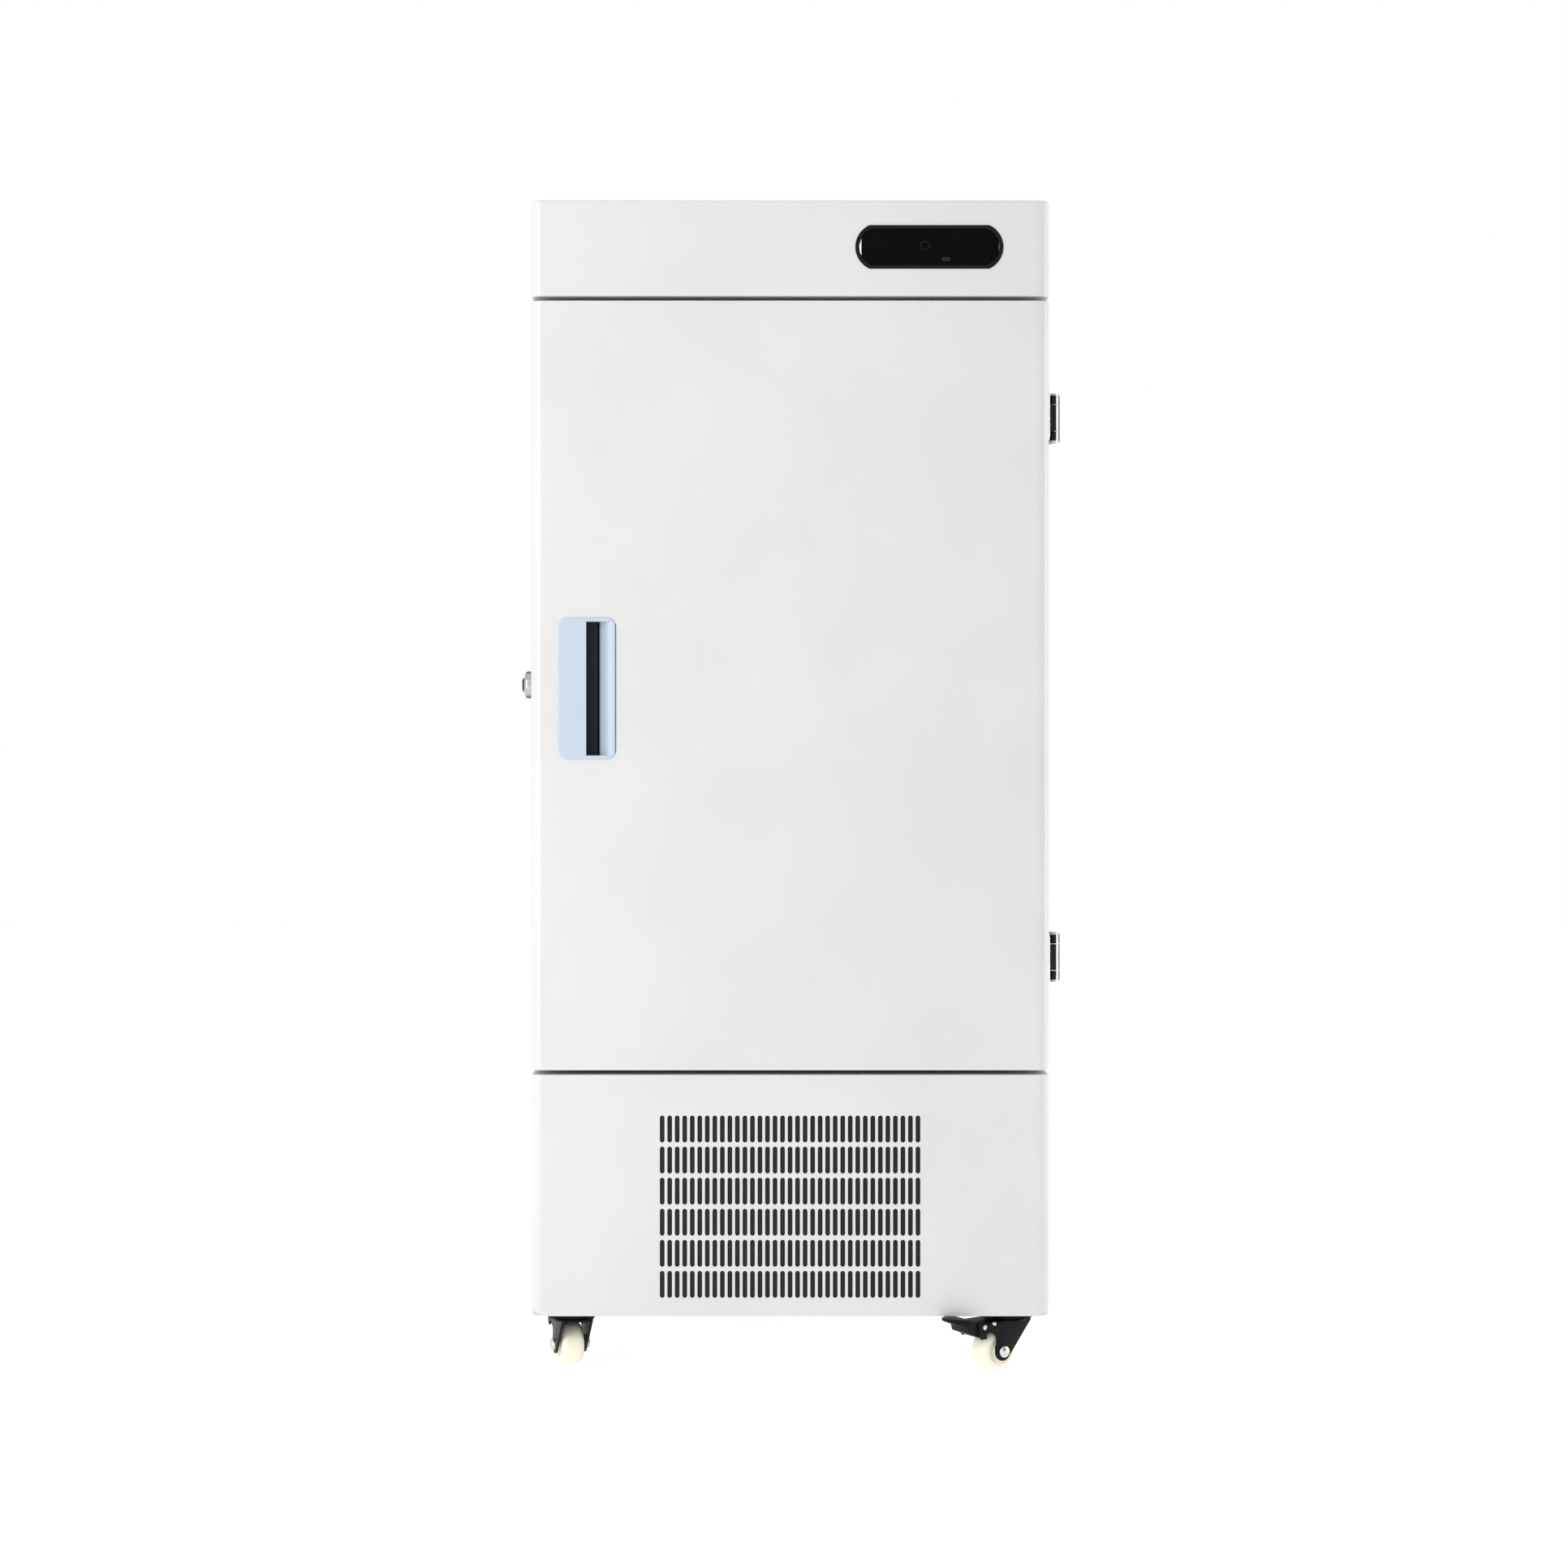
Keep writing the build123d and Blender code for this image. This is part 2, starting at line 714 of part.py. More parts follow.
insulation_foam.part.label = "insulation_foam"
export_step(insulation_foam.part, "parts/insulation_foam.step")

with BuildPart() as inner_liner:
    add(chamber_block(liner_sheet, liner_front_y, chamber_back_y + liner_sheet))
    add(recess_block(0.0, liner_front_y, liner_flange_y))
    add(chamber_block(0.0, liner_front_y, chamber_back_y), mode=Mode.SUBTRACT)
inner_liner.part.label = "inner_liner"
export_step(inner_liner.part, "parts/inner_liner.step")

breaker_face_tall = head_bottom_z - lower_top_z
with BuildPart() as breaker_frame:
    add(
        extruded_rectangle(
            front_plane(0, case_front_y, (lower_top_z + head_bottom_z) / 2),
            rear_width,
            breaker_face_tall,
            plastic_wall,
        )
    )
    add(recess_block(plastic_wall, case_front_y, liner_flange_y))
    add(recess_block(0.0, case_front_y, liner_flange_y), mode=Mode.SUBTRACT)
breaker_frame.part.label = "breaker_frame"
export_step(breaker_frame.part, "parts/breaker_frame.step")

# Shelves: folded trays with a front and a rear lip and rows of air holes
shelf_gap = chamber_tall / (shelf_count + 1)
shelf_width = chamber_width - 2 * shelf_side_gap
shelf_length = chamber_back_y - recess_back_y - shelf_rear_gap
with BuildPart() as shelves:
    for shelf_number in range(1, shelf_count + 1):
        shelf_z = chamber_bottom_z + shelf_number * shelf_gap
        shelf_y = recess_back_y + shelf_length / 2
        with BuildSketch(Plane.XY.offset(shelf_z)):
            with Locations((0, shelf_y)):
                Rectangle(shelf_width, shelf_length)
                with GridLocations(shelf_hole_pitch_x, shelf_hole_pitch_y, 6, 4):
                    Rectangle(shelf_hole_width, shelf_hole_length, mode=Mode.SUBTRACT)
        extrude(amount=-liner_sheet)
        with BuildSketch(Plane.XY.offset(shelf_z)):
            with Locations((0, shelf_y)):
                with GridLocations(0, shelf_length - liner_sheet, 1, 2):
                    Rectangle(shelf_width, liner_sheet)
        extrude(amount=-shelf_lip)
shelves.part.label = "shelves"
export_step(shelves.part, "parts/shelves.step")

# Evaporator coil: level runs joined by half turns, against the rear of the liner
coil_end = coil_width / 2 - coil_pitch / 2
coil_bottom_z = chamber_centre_z - coil_tall / 2
with BuildPart() as evaporator_coil:
    coil_plane = Plane(origin=(0, coil_centre_y, coil_bottom_z), x_dir=(1, 0, 0), z_dir=(0, -1, 0))
    with BuildLine(coil_plane) as coil:
        for run in range(coil_runs):
            side = 1 if run % 2 == 0 else -1
            level = run * coil_pitch
            Line((-side * coil_end, level), (side * coil_end, level))
            if run < coil_runs - 1:
                ThreePointArc(
                    (side * coil_end, level),
                    (side * (coil_end + coil_pitch / 2), level + coil_pitch / 2),
                    (side * coil_end, level + coil_pitch),
                )
    with BuildSketch(Plane(origin=(-coil_end, coil_centre_y, coil_bottom_z), z_dir=(1, 0, 0))):
        Circle(coil_tube_radius)
    sweep(path=coil.wires()[0])
evaporator_coil.part.label = "evaporator_coil"
export_step(evaporator_coil.part, "parts/evaporator_coil.step")

# Temperature probe in a clip on the chamber's rear wall
probe_z = chamber_top_z - probe_drop
probe_clip_y = chamber_back_y - seat_gap - probe_clip_thickness
with BuildPart() as temperature_probe:
    with BuildSketch(front_plane(0, probe_clip_y, probe_z)):
        RectangleRounded(probe_clip_width, probe_clip_height, probe_radius)
    extrude(amount=probe_clip_thickness)
    with BuildSketch(Plane.YZ.offset(-probe_length / 2)):
        with Locations((probe_clip_y - probe_radius, probe_z)):
            Circle(probe_radius)
    extrude(amount=probe_length)
temperature_probe.part.label = "temperature_probe"
export_step(temperature_probe.part, "parts/temperature_probe.step")

# Inner doors: one above the other, each with an upright knuckle along its right edge
inner_door_front_y = recess_back_y - seat_gap - inner_door_thickness
inner_pivot_x = opening_half - inner_door_knuckle_radius - inner_door_clearance
inner_pivot_y = inner_door_front_y - inner_door_clearance
inner_door_left_x = -opening_half + inner_door_gap
inner_door_right_x = inner_pivot_x - inner_door_knuckle_radius - inner_door_clearance
inner_door_width = inner_door_right_x - inner_door_left_x
inner_door_centre_x = (inner_door_left_x + inner_door_right_x) / 2
inner_door_tall = (opening_tall - (inner_door_count + 1) * inner_door_gap) / inner_door_count
inner_door_names = ("lower", "upper")


def inner_door_bottom(number):
    """Height of the lower edge of one inner door, counted from below."""
    opening_bottom_z = chamber_bottom_z - inner_door_step
    return opening_bottom_z + inner_door_gap + number * (inner_door_tall + inner_door_gap)


for number, level in enumerate(inner_door_names):
    bottom_z = inner_door_bottom(number)
    with BuildPart() as inner_door:
        with BuildSketch(Plane.XY.offset(bottom_z)):
            with Locations((inner_door_centre_x, inner_door_front_y + inner_door_thickness / 2)):
                Rectangle(inner_door_width, inner_door_thickness)
        extrude(amount=inner_door_tall)
        with BuildSketch(Plane.XY.offset(bottom_z + inner_door_knuckle_inset)):
            with Locations((inner_pivot_x, inner_pivot_y)):
                Circle(inner_door_knuckle_radius)
            web_x = (inner_door_right_x + inner_pivot_x - inner_door_clearance) / 2
            with Locations((web_x, inner_door_front_y + inner_door_web / 2 - 1)):
                Rectangle(inner_pivot_x - inner_door_right_x + inner_door_clearance, inner_door_web)
        extrude(amount=inner_door_tall - 2 * inner_door_knuckle_inset)
        middle_z = bottom_z + inner_door_tall / 2
        with BuildSketch(front_plane(inner_door_centre_x, inner_door_front_y, middle_z)):
            RectangleRounded(
                inner_door_width - 2 * inner_door_border,
                inner_door_tall - 2 * inner_door_border,
                inner_door_dish_radius,
            )
        extrude(amount=inner_door_dish, mode=Mode.SUBTRACT)
        pull_x = inner_door_left_x + inner_door_border / 2
        with BuildSketch(front_plane(pull_x, inner_door_front_y, middle_z)):
            RectangleRounded(inner_pull_width, inner_pull_height, inner_pull_width / 3)
        extrude(amount=inner_pull_depth, mode=Mode.SUBTRACT)
        with BuildSketch(Plane.XY.offset(bottom_z)):
            with Locations((inner_pivot_x, inner_pivot_y)):
                Circle(inner_door_pin_radius + pin_clearance)
        extrude(amount=inner_door_tall, mode=Mode.SUBTRACT)
    inner_door.part.label = f"inner_door_{level}"
    export_step(inner_door.part, f"parts/inner_door_{level}.step")

with BuildPart() as inner_door_brackets:
    for number in range(inner_door_count):
        lower_z = inner_door_bottom(number) + inner_door_knuckle_inset - seat_gap
        upper_z = inner_door_bottom(number) + inner_door_tall - inner_door_knuckle_inset + seat_gap
        for arm_z, direction in ((lower_z, 1), (upper_z, -1)):
            with BuildSketch(Plane.XY.offset(arm_z)):
                with Locations(((inner_pivot_x + opening_half) / 2, inner_pivot_y)):
                    Rectangle(opening_half - inner_pivot_x, 2 * inner_door_knuckle_radius)
                with Locations((inner_pivot_x, inner_pivot_y)):
                    Circle(inner_door_knuckle_radius)
            extrude(amount=-direction * inner_bracket_thickness)
            with BuildSketch(Plane.XY.offset(arm_z)):
                with Locations((inner_pivot_x, inner_pivot_y)):
                    Circle(inner_door_pin_radius)
            extrude(amount=direction * inner_bracket_pin)
inner_door_brackets.part.label = "inner_door_brackets"
export_step(inner_door_brackets.part, "parts/inner_door_brackets.step")

# Handle recess: moulded pull with a cover plate, a finger hollow behind it and a concave scoop
handle_left_x = handle_centre_x - handle_width / 2
handle_right_x = handle_centre_x + handle_width / 2
mouth_left_x = handle_left_x + handle_cover_width
mouth_right_x = handle_right_x - handle_rim
hollow_left_x = handle_left_x + handle_rim + handle_wall
hollow_back_y = front_y + handle_depth
hollow_tall = handle_height - 2 * handle_rim
scoop_floor_x = mouth_left_x + handle_wall
handle_body_width = handle_width - 2 * (handle_rim - handle_wall)
handle_body_height = handle_height - 2 * (handle_rim - handle_wall)


def handle_body_block(gap, start_y, end_y):
    """Block that holds the moulded body behind the door skin, grown by a gap."""
    return extruded_rectangle(
        front_plane(handle_centre_x, start_y, handle_centre_z),
        handle_body_width + 2 * gap,
        handle_body_height + 2 * gap,
        end_y - start_y,
        handle_corner_radius - handle_rim + handle_wall + gap,
    )


with BuildPart() as handle_recess:
    add(
        extruded_rectangle(
            front_plane(handle_centre_x, front_y - handle_stand, handle_centre_z),
            handle_width,
            handle_height,
            handle_stand,
            handle_corner_radius,
        )
    )
    fillet(handle_recess.faces().sort_by(Axis.Y)[0].edges(), handle_edge_radius)
    add(handle_body_block(0.0, front_y, hollow_back_y + handle_wall))
    with BuildSketch(Plane.XY.offset(handle_centre_z - hollow_tall / 2)):
        with BuildLine():
            Polyline(
                (mouth_right_x, front_y - 2 * handle_stand),
                (mouth_left_x, front_y - 2 * handle_stand),
                (mouth_left_x, front_y + handle_cover_thickness - handle_stand),
                (hollow_left_x, front_y + handle_cover_thickness - handle_stand),
                (hollow_left_x, hollow_back_y),
                (scoop_floor_x, hollow_back_y),
            )
            scoop_foot = (scoop_floor_x, hollow_back_y)
            scoop_rim = (mouth_right_x, front_y - handle_stand)
            RadiusArc(scoop_foot, scoop_rim, handle_scoop_radius)
            Line((mouth_right_x, front_y - handle_stand), (mouth_right_x, front_y - 2 * handle_stand))
        make_face()
    extrude(amount=hollow_tall, mode=Mode.SUBTRACT)
handle_recess.part.label = "handle_recess"
export_step(handle_recess.part, "parts/handle_recess.step")

# Door: folded skin, foam core, inner panel with a raised plug, and the gasket
door_panel_y = door_back_y - door_panel_wall
gasket_outer_half = half_width - gasket_inset
gasket_tall = door_top_z - door_bottom_z - 2 * gasket_inset
plug_half = gasket_outer_half - gasket_width - plug_margin
plug_tall = gasket_tall - 2 * (gasket_width + plug_margin)
lock_y = front_y + lock_setback
cam_pocket_near = cam_width / 2 + cam_pocket_margin
cam_pocket_size = cam_pocket_near + cam_reach + cam_pocket_margin


def door_hollow():
    """The room inside the folded door skin."""
    return front_block(door_bottom_z + sheet, door_top_z - sheet, door_back_y, sheet)


with BuildPart() as door_skin:
    add(front_block(door_bottom_z, door_top_z, door_back_y))
    add(door_hollow(), mode=Mode.SUBTRACT)
    add(handle_body_block(0.0, front_y - sheet, front_y + 2 * sheet), mode=Mode.SUBTRACT)
    with BuildSketch(Plane.YZ.offset(-half_width)):
        with Locations((lock_y, lock_centre_z)):
            Circle(lock_body_radius)
    extrude(amount=2 * sheet, mode=Mode.SUBTRACT)
door_skin.part.label = "door_skin"
export_step(door_skin.part, "parts/door_skin.step")


def lock_pocket(depth):
    """Room behind the door's left edge for the lock body and the turning cam."""
    with BuildPart() as pocket:
        with BuildSketch(Plane.YZ.offset(-half_width + sheet)):
            with Locations((lock_y, lock_centre_z)):
                Circle(lock_body_radius + cam_pocket_margin)
            with Locations((lock_y - cam_pocket_near, lock_centre_z - cam_pocket_near)):
                Rectangle(cam_pocket_size, cam_pocket_size, align=(Align.MIN, Align.MIN))
        extrude(amount=depth)
    return pocket.part


cam_pocket_depth = seat_gap + cam_thickness + cam_pocket_margin + 1.0
with BuildPart() as door_foam:
    add(door_hollow())
    with BuildSketch(front_plane(0, door_panel_y, door_centre_z)):
        Rectangle(cabinet_width, door_top_z - door_bottom_z)
    extrude(amount=door_thickness, mode=Mode.SUBTRACT)
    with BuildSketch(front_plane(0, door_panel_y, door_centre_z)):
        Rectangle(2 * plug_half - 2 * door_panel_wall, plug_tall - 2 * door_panel_wall)
    extrude(amount=plug_height)
    add(handle_body_block(seat_gap, front_y, hollow_back_y + handle_wall + seat_gap), mode=Mode.SUBTRACT)
    add(lock_pocket(cam_pocket_depth), mode=Mode.SUBTRACT)
    with BuildSketch(Plane.YZ.offset(-half_width)):
        with Locations((lock_y, lock_centre_z)):
            Circle(lock_body_radius + seat_gap)
    extrude(amount=lock_nut_depth + sheet, mode=Mode.SUBTRACT)
door_foam.part.label = "door_foam"
export_step(door_foam.part, "parts/door_foam.step")

with BuildPart() as door_inner_panel:
    with BuildSketch(front_plane(0, door_panel_y, door_centre_z)):
        RectangleRounded(inner_case_width, door_top_z - door_bottom_z - 2 * sheet, panel_edge_radius)
    extrude(amount=door_panel_wall)
    with BuildSketch(front_plane(0, door_panel_y, door_centre_z)):
        RectangleRounded(2 * plug_half, plug_tall, plug_corner_radius)
    extrude(amount=door_panel_wall + plug_height)
    chamfer(door_inner_panel.faces().sort_by(Axis.Y)[-1].edges(), plug_edge)
    with BuildSketch(front_plane(0, door_panel_y, door_centre_z)):
        Rectangle(2 * plug_half - 2 * door_panel_wall, plug_tall - 2 * door_panel_wall)
    extrude(amount=plug_height, mode=Mode.SUBTRACT)
    with BuildSketch(front_plane(keeper_slot_x, door_panel_y, keeper_slot_z)):
        Rectangle(keeper_slot_width, keeper_slot_height)
    extrude(amount=door_panel_wall, mode=Mode.SUBTRACT)
door_inner_panel.part.label = "door_inner_panel"
export_step(door_inner_panel.part, "parts/door_inner_panel.step")

with BuildPart() as door_gasket:
    with BuildSketch(front_plane(0, door_back_y, door_centre_z)):
        RectangleRounded(2 * gasket_outer_half, gasket_tall, gasket_corner_radius)
        Rectangle(2 * (gasket_outer_half - gasket_width), gasket_tall - 2 * gasket_width, mode=Mode.SUBTRACT)
    extrude(amount=gasket_thickness)
    with BuildSketch(front_plane(0, door_back_y + gasket_thickness * 0.35, door_centre_z)):
        RectangleRounded(2 * gasket_outer_half, gasket_tall, gasket_corner_radius)
        RectangleRounded(
            2 * (gasket_outer_half - gasket_groove),
            gasket_tall - 2 * gasket_groove,
            gasket_corner_radius - gasket_groove,
            mode=Mode.SUBTRACT,
        )
    extrude(amount=gasket_thickness * 0.3, mode=Mode.SUBTRACT)
door_gasket.part.label = "door_gasket"
export_step(door_gasket.part, "parts/door_gasket.step")

# Side lock: chamfered housing, and a core that turns with its cam
with BuildPart() as lock_housing:
    with BuildSketch(Plane.YZ.offset(-half_width - lock_base_height)):
        with Locations((lock_y, lock_centre_z)):
            Circle(lock_base_radius)
    extrude(amount=lock_base_height)
    chamfer(lock_housing.faces().sort_by(Axis.X)[0].edges(), lock_base_height * 0.4)
    with BuildSketch(Plane.YZ.offset(-half_width)):
        with Locations((lock_y, lock_centre_z)):
            Circle(lock_body_radius - seat_gap)
    extrude(amount=sheet + seat_gap)
    with BuildSketch(Plane.YZ.offset(-half_width - lock_base_height)):
        with Locations((lock_y, lock_centre_z)):
            Circle(lock_core_radius + pin_clearance)
    extrude(amount=lock_base_height + 2 * sheet, mode=Mode.SUBTRACT)
lock_housing.part.label = "lock_housing"
export_step(lock_housing.part, "parts/lock_housing.step")

core_face_x = -half_width - lock_base_height - lock_core_stand
cam_start_x = -half_width + sheet + 2 * seat_gap
with BuildPart() as lock_core:
    with BuildSketch(Plane.YZ.offset(core_face_x)):
        with Locations((lock_y, lock_centre_z)):
            Circle(lock_core_radius)
    extrude(amount=cam_start_x - core_face_x)
    chamfer(lock_core.faces().sort_by(Axis.X)[0].edges(), 1.2)
    with BuildSketch(Plane.YZ.offset(core_face_x)):
        with Locations((lock_y, lock_centre_z)):
            Rectangle(key_slot_width, key_slot_height)
    extrude(amount=key_slot_depth, mode=Mode.SUBTRACT)
    with BuildSketch(Plane.YZ.offset(cam_start_x)):
        with Locations((lock_y, lock_centre_z)):
            Circle(lock_core_radius)
        with Locations((lock_y, lock_centre_z + (cam_reach - cam_width / 2) / 2)):
            Rectangle(cam_width, cam_reach - cam_width / 2)
        with Locations((lock_y, lock_centre_z + cam_reach - cam_width / 2)):
            Circle(cam_width / 2)
    extrude(amount=cam_thickness)
lock_core.part.label = "lock_core"
export_step(lock_core.part, "parts/lock_core.step")

with BuildPart() as lock_keeper:
    with BuildSketch(front_plane(keeper_slot_x + keeper_wall / 2, case_front_y + sheet, keeper_slot_z)):
        Rectangle(keeper_slot_width + keeper_wall, keeper_slot_height + 2 * keeper_wall)
    extrude(amount=keeper_depth)
    with BuildSketch(front_plane(keeper_slot_x, case_front_y + sheet, keeper_slot_z)):
        Rectangle(keeper_slot_width, keeper_slot_height)
    extrude(amount=keeper_depth - keeper_wall, mode=Mode.SUBTRACT)
lock_keeper.part.label = "lock_keeper"
export_step(lock_keeper.part, "parts/lock_keeper.step")

# Side hinges: cabinet leaves with two lugs, door leaves with one barrel, and pins
pivot_x = half_width + hinge_standoff
pivot_y = door_back_y + gasket_thickness / 2
barrel_height = hinge_height - 2 * hinge_lug_height - 2 * seat_gap
hinge_levels = (door_centre_z - hinge_spacing / 2, door_centre_z + hinge_spacing / 2)


def hinge_leaf(centre_z, toward):
    """Flat leaf on the side of the door (toward -1) or of the cabinet (toward 1)."""
    start = door_back_y if toward < 0 else case_front_y
    centre = (half_width, start + toward * hinge_leaf_length / 2, centre_z)
    plane = Plane(origin=centre, x_dir=(0, 1, 0), z_dir=(1, 0, 0))
    with BuildPart() as leaf:
        with BuildSketch(plane):
            Rectangle(hinge_leaf_length, hinge_height)
        extrude(amount=hinge_leaf_thickness)
        far_edges = leaf.edges().filter_by(Axis.X).sort_by(Axis.Y)[::toward][-2:]
        fillet(far_edges, hinge_leaf_corner_radius)
        with BuildSketch(plane):
            with Locations((toward * hinge_screw_offset, 0)):
                with GridLocations(0, hinge_height / 2, 1, 2):
                    Circle(hinge_screw_radius)
        extrude(amount=hinge_leaf_thickness, mode=Mode.SUBTRACT)
    return leaf.part


def hinge_knuckle(bottom_z, height, toward, crown=0):
    """Barrel length round the pivot, tied to its leaf by a web; a crown of 1 or -1 rounds one end."""
    web_inner_y = door_back_y if toward < 0 else case_front_y
    with BuildPart() as knuckle:
        with BuildSketch(Plane.XY.offset(bottom_z)):
            with Locations((pivot_x, pivot_y)):
                Circle(hinge_barrel_radius)
        extrude(amount=height)
        if crown:
            rim = knuckle.faces().sort_by(Axis.Z)[-1 if crown > 0 else 0].edges()
            fillet(rim, hinge_crown_radius)
        with BuildSketch(Plane.XY.offset(bottom_z)):
            with BuildLine():
                Polyline(
                    (half_width, web_inner_y + toward * hinge_web),
                    (half_width, web_inner_y),
                    (pivot_x, pivot_y + toward * 1.5),
                    (pivot_x, pivot_y + toward * (hinge_barrel_radius - 1)),
                    (half_width + hinge_leaf_thickness, web_inner_y + toward * hinge_web),
                    close=True,
                )
            make_face()
        extrude(amount=height)
        with BuildSketch(Plane.XY.offset(bottom_z)):
            with Locations((pivot_x, pivot_y)):
                Circle(hinge_pin_radius + pin_clearance)
        extrude(amount=height - (hinge_cap if crown > 0 else 0), mode=Mode.SUBTRACT)
    return knuckle.part


with BuildPart() as hinge_cabinet_leaves:
    for hinge_z in hinge_levels:
        bottom_z = hinge_z - hinge_height / 2
        add(hinge_leaf(hinge_z, 1))
        add(hinge_knuckle(bottom_z, hinge_lug_height, 1, -1))
        add(hinge_knuckle(bottom_z + hinge_height - hinge_lug_height, hinge_lug_height, 1, 1))
hinge_cabinet_leaves.part.label = "hinge_cabinet_leaves"
export_step(hinge_cabinet_leaves.part, "parts/hinge_cabinet_leaves.step")

with BuildPart() as hinge_door_leaves:
    for hinge_z in hinge_levels:
        add(hinge_leaf(hinge_z, -1))
        add(hinge_knuckle(hinge_z - barrel_height / 2, barrel_height, -1))
hinge_door_leaves.part.label = "hinge_door_leaves"
export_step(hinge_door_leaves.part, "parts/hinge_door_leaves.step")

with BuildPart() as hinge_pins:
    for hinge_z in hinge_levels:
        with BuildSketch(Plane.XY.offset(hinge_z - hinge_height / 2)):
            with Locations((pivot_x, pivot_y)):
                Circle(hinge_pin_radius)
        extrude(amount=hinge_height - hinge_cap - seat_gap)
hinge_pins.part.label = "hinge_pins"
export_step(hinge_pins.part, "parts/hinge_pins.step")

# Condenser: fin block between end plates, standing on the chassis
condenser_front_y = filter_front_y + filter_thickness + filter_gap
condenser_back_y = condenser_front_y + condenser_thickness
condenser_centre_z = chassis_top_z + condenser_height / 2
condenser_fins = int(condenser_width / condenser_fin_pitch) - 1
with BuildPart() as condenser:
    with BuildSketch(front_plane(0, condenser_front_y, condenser_centre_z)):
        Rectangle(condenser_width, condenser_height)
    extrude(amount=condenser_thickness)
    for groove_y, direction in ((condenser_front_y, 1), (condenser_back_y, -1)):
        with BuildSketch(front_plane(0, groove_y, condenser_centre_z)):
            with GridLocations(condenser_fin_pitch, 0, condenser_fins, 1):
                Rectangle(condenser_fin_gap, condenser_height - 2 * condenser_end)
        extrude(amount=direction * condenser_fin_depth, mode=Mode.SUBTRACT)
condenser.part.label = "condenser"
export_step(condenser.part, "parts/condenser.step")

# Fan shroud: hood with a round throat; the motor hangs on three arms behind it
fan_centre_z = condenser_centre_z
shroud_back_y = condenser_back_y + shroud_depth
motor_front_y = shroud_back_y + motor_arm_thickness
with BuildPart() as fan_shroud:
    with BuildSketch(front_plane(0, condenser_back_y, fan_centre_z)):
        Rectangle(condenser_width, condenser_height)
    extrude(amount=shroud_depth)
    with BuildSketch(front_plane(0, condenser_back_y, fan_centre_z)):
        Rectangle(condenser_width - 2 * plastic_wall, condenser_height - 2 * plastic_wall)
    extrude(amount=shroud_depth - plastic_wall, mode=Mode.SUBTRACT)
    with BuildSketch(front_plane(0, shroud_back_y, fan_centre_z)):
        Circle(fan_radius + fan_ring_gap)
    extrude(amount=-plastic_wall, mode=Mode.SUBTRACT)
    with BuildSketch(front_plane(0, shroud_back_y, fan_centre_z)):
        Circle(motor_radius)
        Rectangle(2 * fan_radius + 4 * motor_arm_width, motor_arm_width)
        Rectangle(motor_arm_width, condenser_height - 2 * condenser_end)
        Circle(fan_shaft_radius + shaft_clearance, mode=Mode.SUBTRACT)
    extrude(amount=motor_arm_thickness)
fan_shroud.part.label = "fan_shroud"
export_step(fan_shroud.part, "parts/fan_shroud.step")

impeller_back_y = shroud_back_y - plastic_wall
with BuildPart() as fan_motor:
    with BuildSketch(front_plane(0, motor_front_y, fan_centre_z)):
        Circle(motor_radius)
    extrude(amount=motor_length)
    chamfer(fan_motor.faces().sort_by(Axis.Y)[-1].edges(), motor_edge)
    with BuildSketch(front_plane(0, motor_front_y, fan_centre_z)):
        Circle(fan_shaft_radius)
    extrude(amount=-(motor_front_y - impeller_back_y + fan_blade_depth - shaft_clearance))
fan_motor.part.label = "fan_motor"
export_step(fan_motor.part, "parts/fan_motor.step")

# Fan impeller: hub with twisted blades, running on the motor shaft
with BuildPart() as fan_impeller:
    with BuildSketch(front_plane(0, impeller_back_y - fan_blade_depth, fan_centre_z)):
        Circle(fan_hub_radius)
    extrude(amount=fan_blade_depth)
    for blade in range(fan_blade_count):
        turn = 360.0 / fan_blade_count * blade
        radial = Vector(1, 0, 0).rotate(Axis.Y, turn)
        centre = Vector(0, impeller_back_y - fan_blade_depth / 2, fan_centre_z)
        root = Plane(origin=centre + radial * (fan_hub_radius - blade_sink), x_dir=(0, 1, 0), z_dir=radial)
        tip = Plane(origin=centre + radial * (fan_radius - blade_sink), x_dir=(0, 1, 0), z_dir=radial)
        with BuildSketch(root.rotated((0, 0, blade_root_angle))):
            Rectangle(blade_root_chord, blade_thickness)
        with BuildSketch(tip.rotated((0, 0, blade_tip_angle))):
            Rectangle(blade_tip_chord, blade_thickness)
        loft()
    with BuildSketch(front_plane(0, impeller_back_y - fan_blade_depth, fan_centre_z)):
        Circle(fan_shaft_radius + pin_clearance)
    extrude(amount=fan_blade_depth, mode=Mode.SUBTRACT)
fan_impeller.part.label = "fan_impeller"
export_step(fan_impeller.part, "parts/fan_impeller.step")

# Compressors: domed cans on a foot plate, each on four rubber grommets
foot_z = chassis_top_z + grommet_height


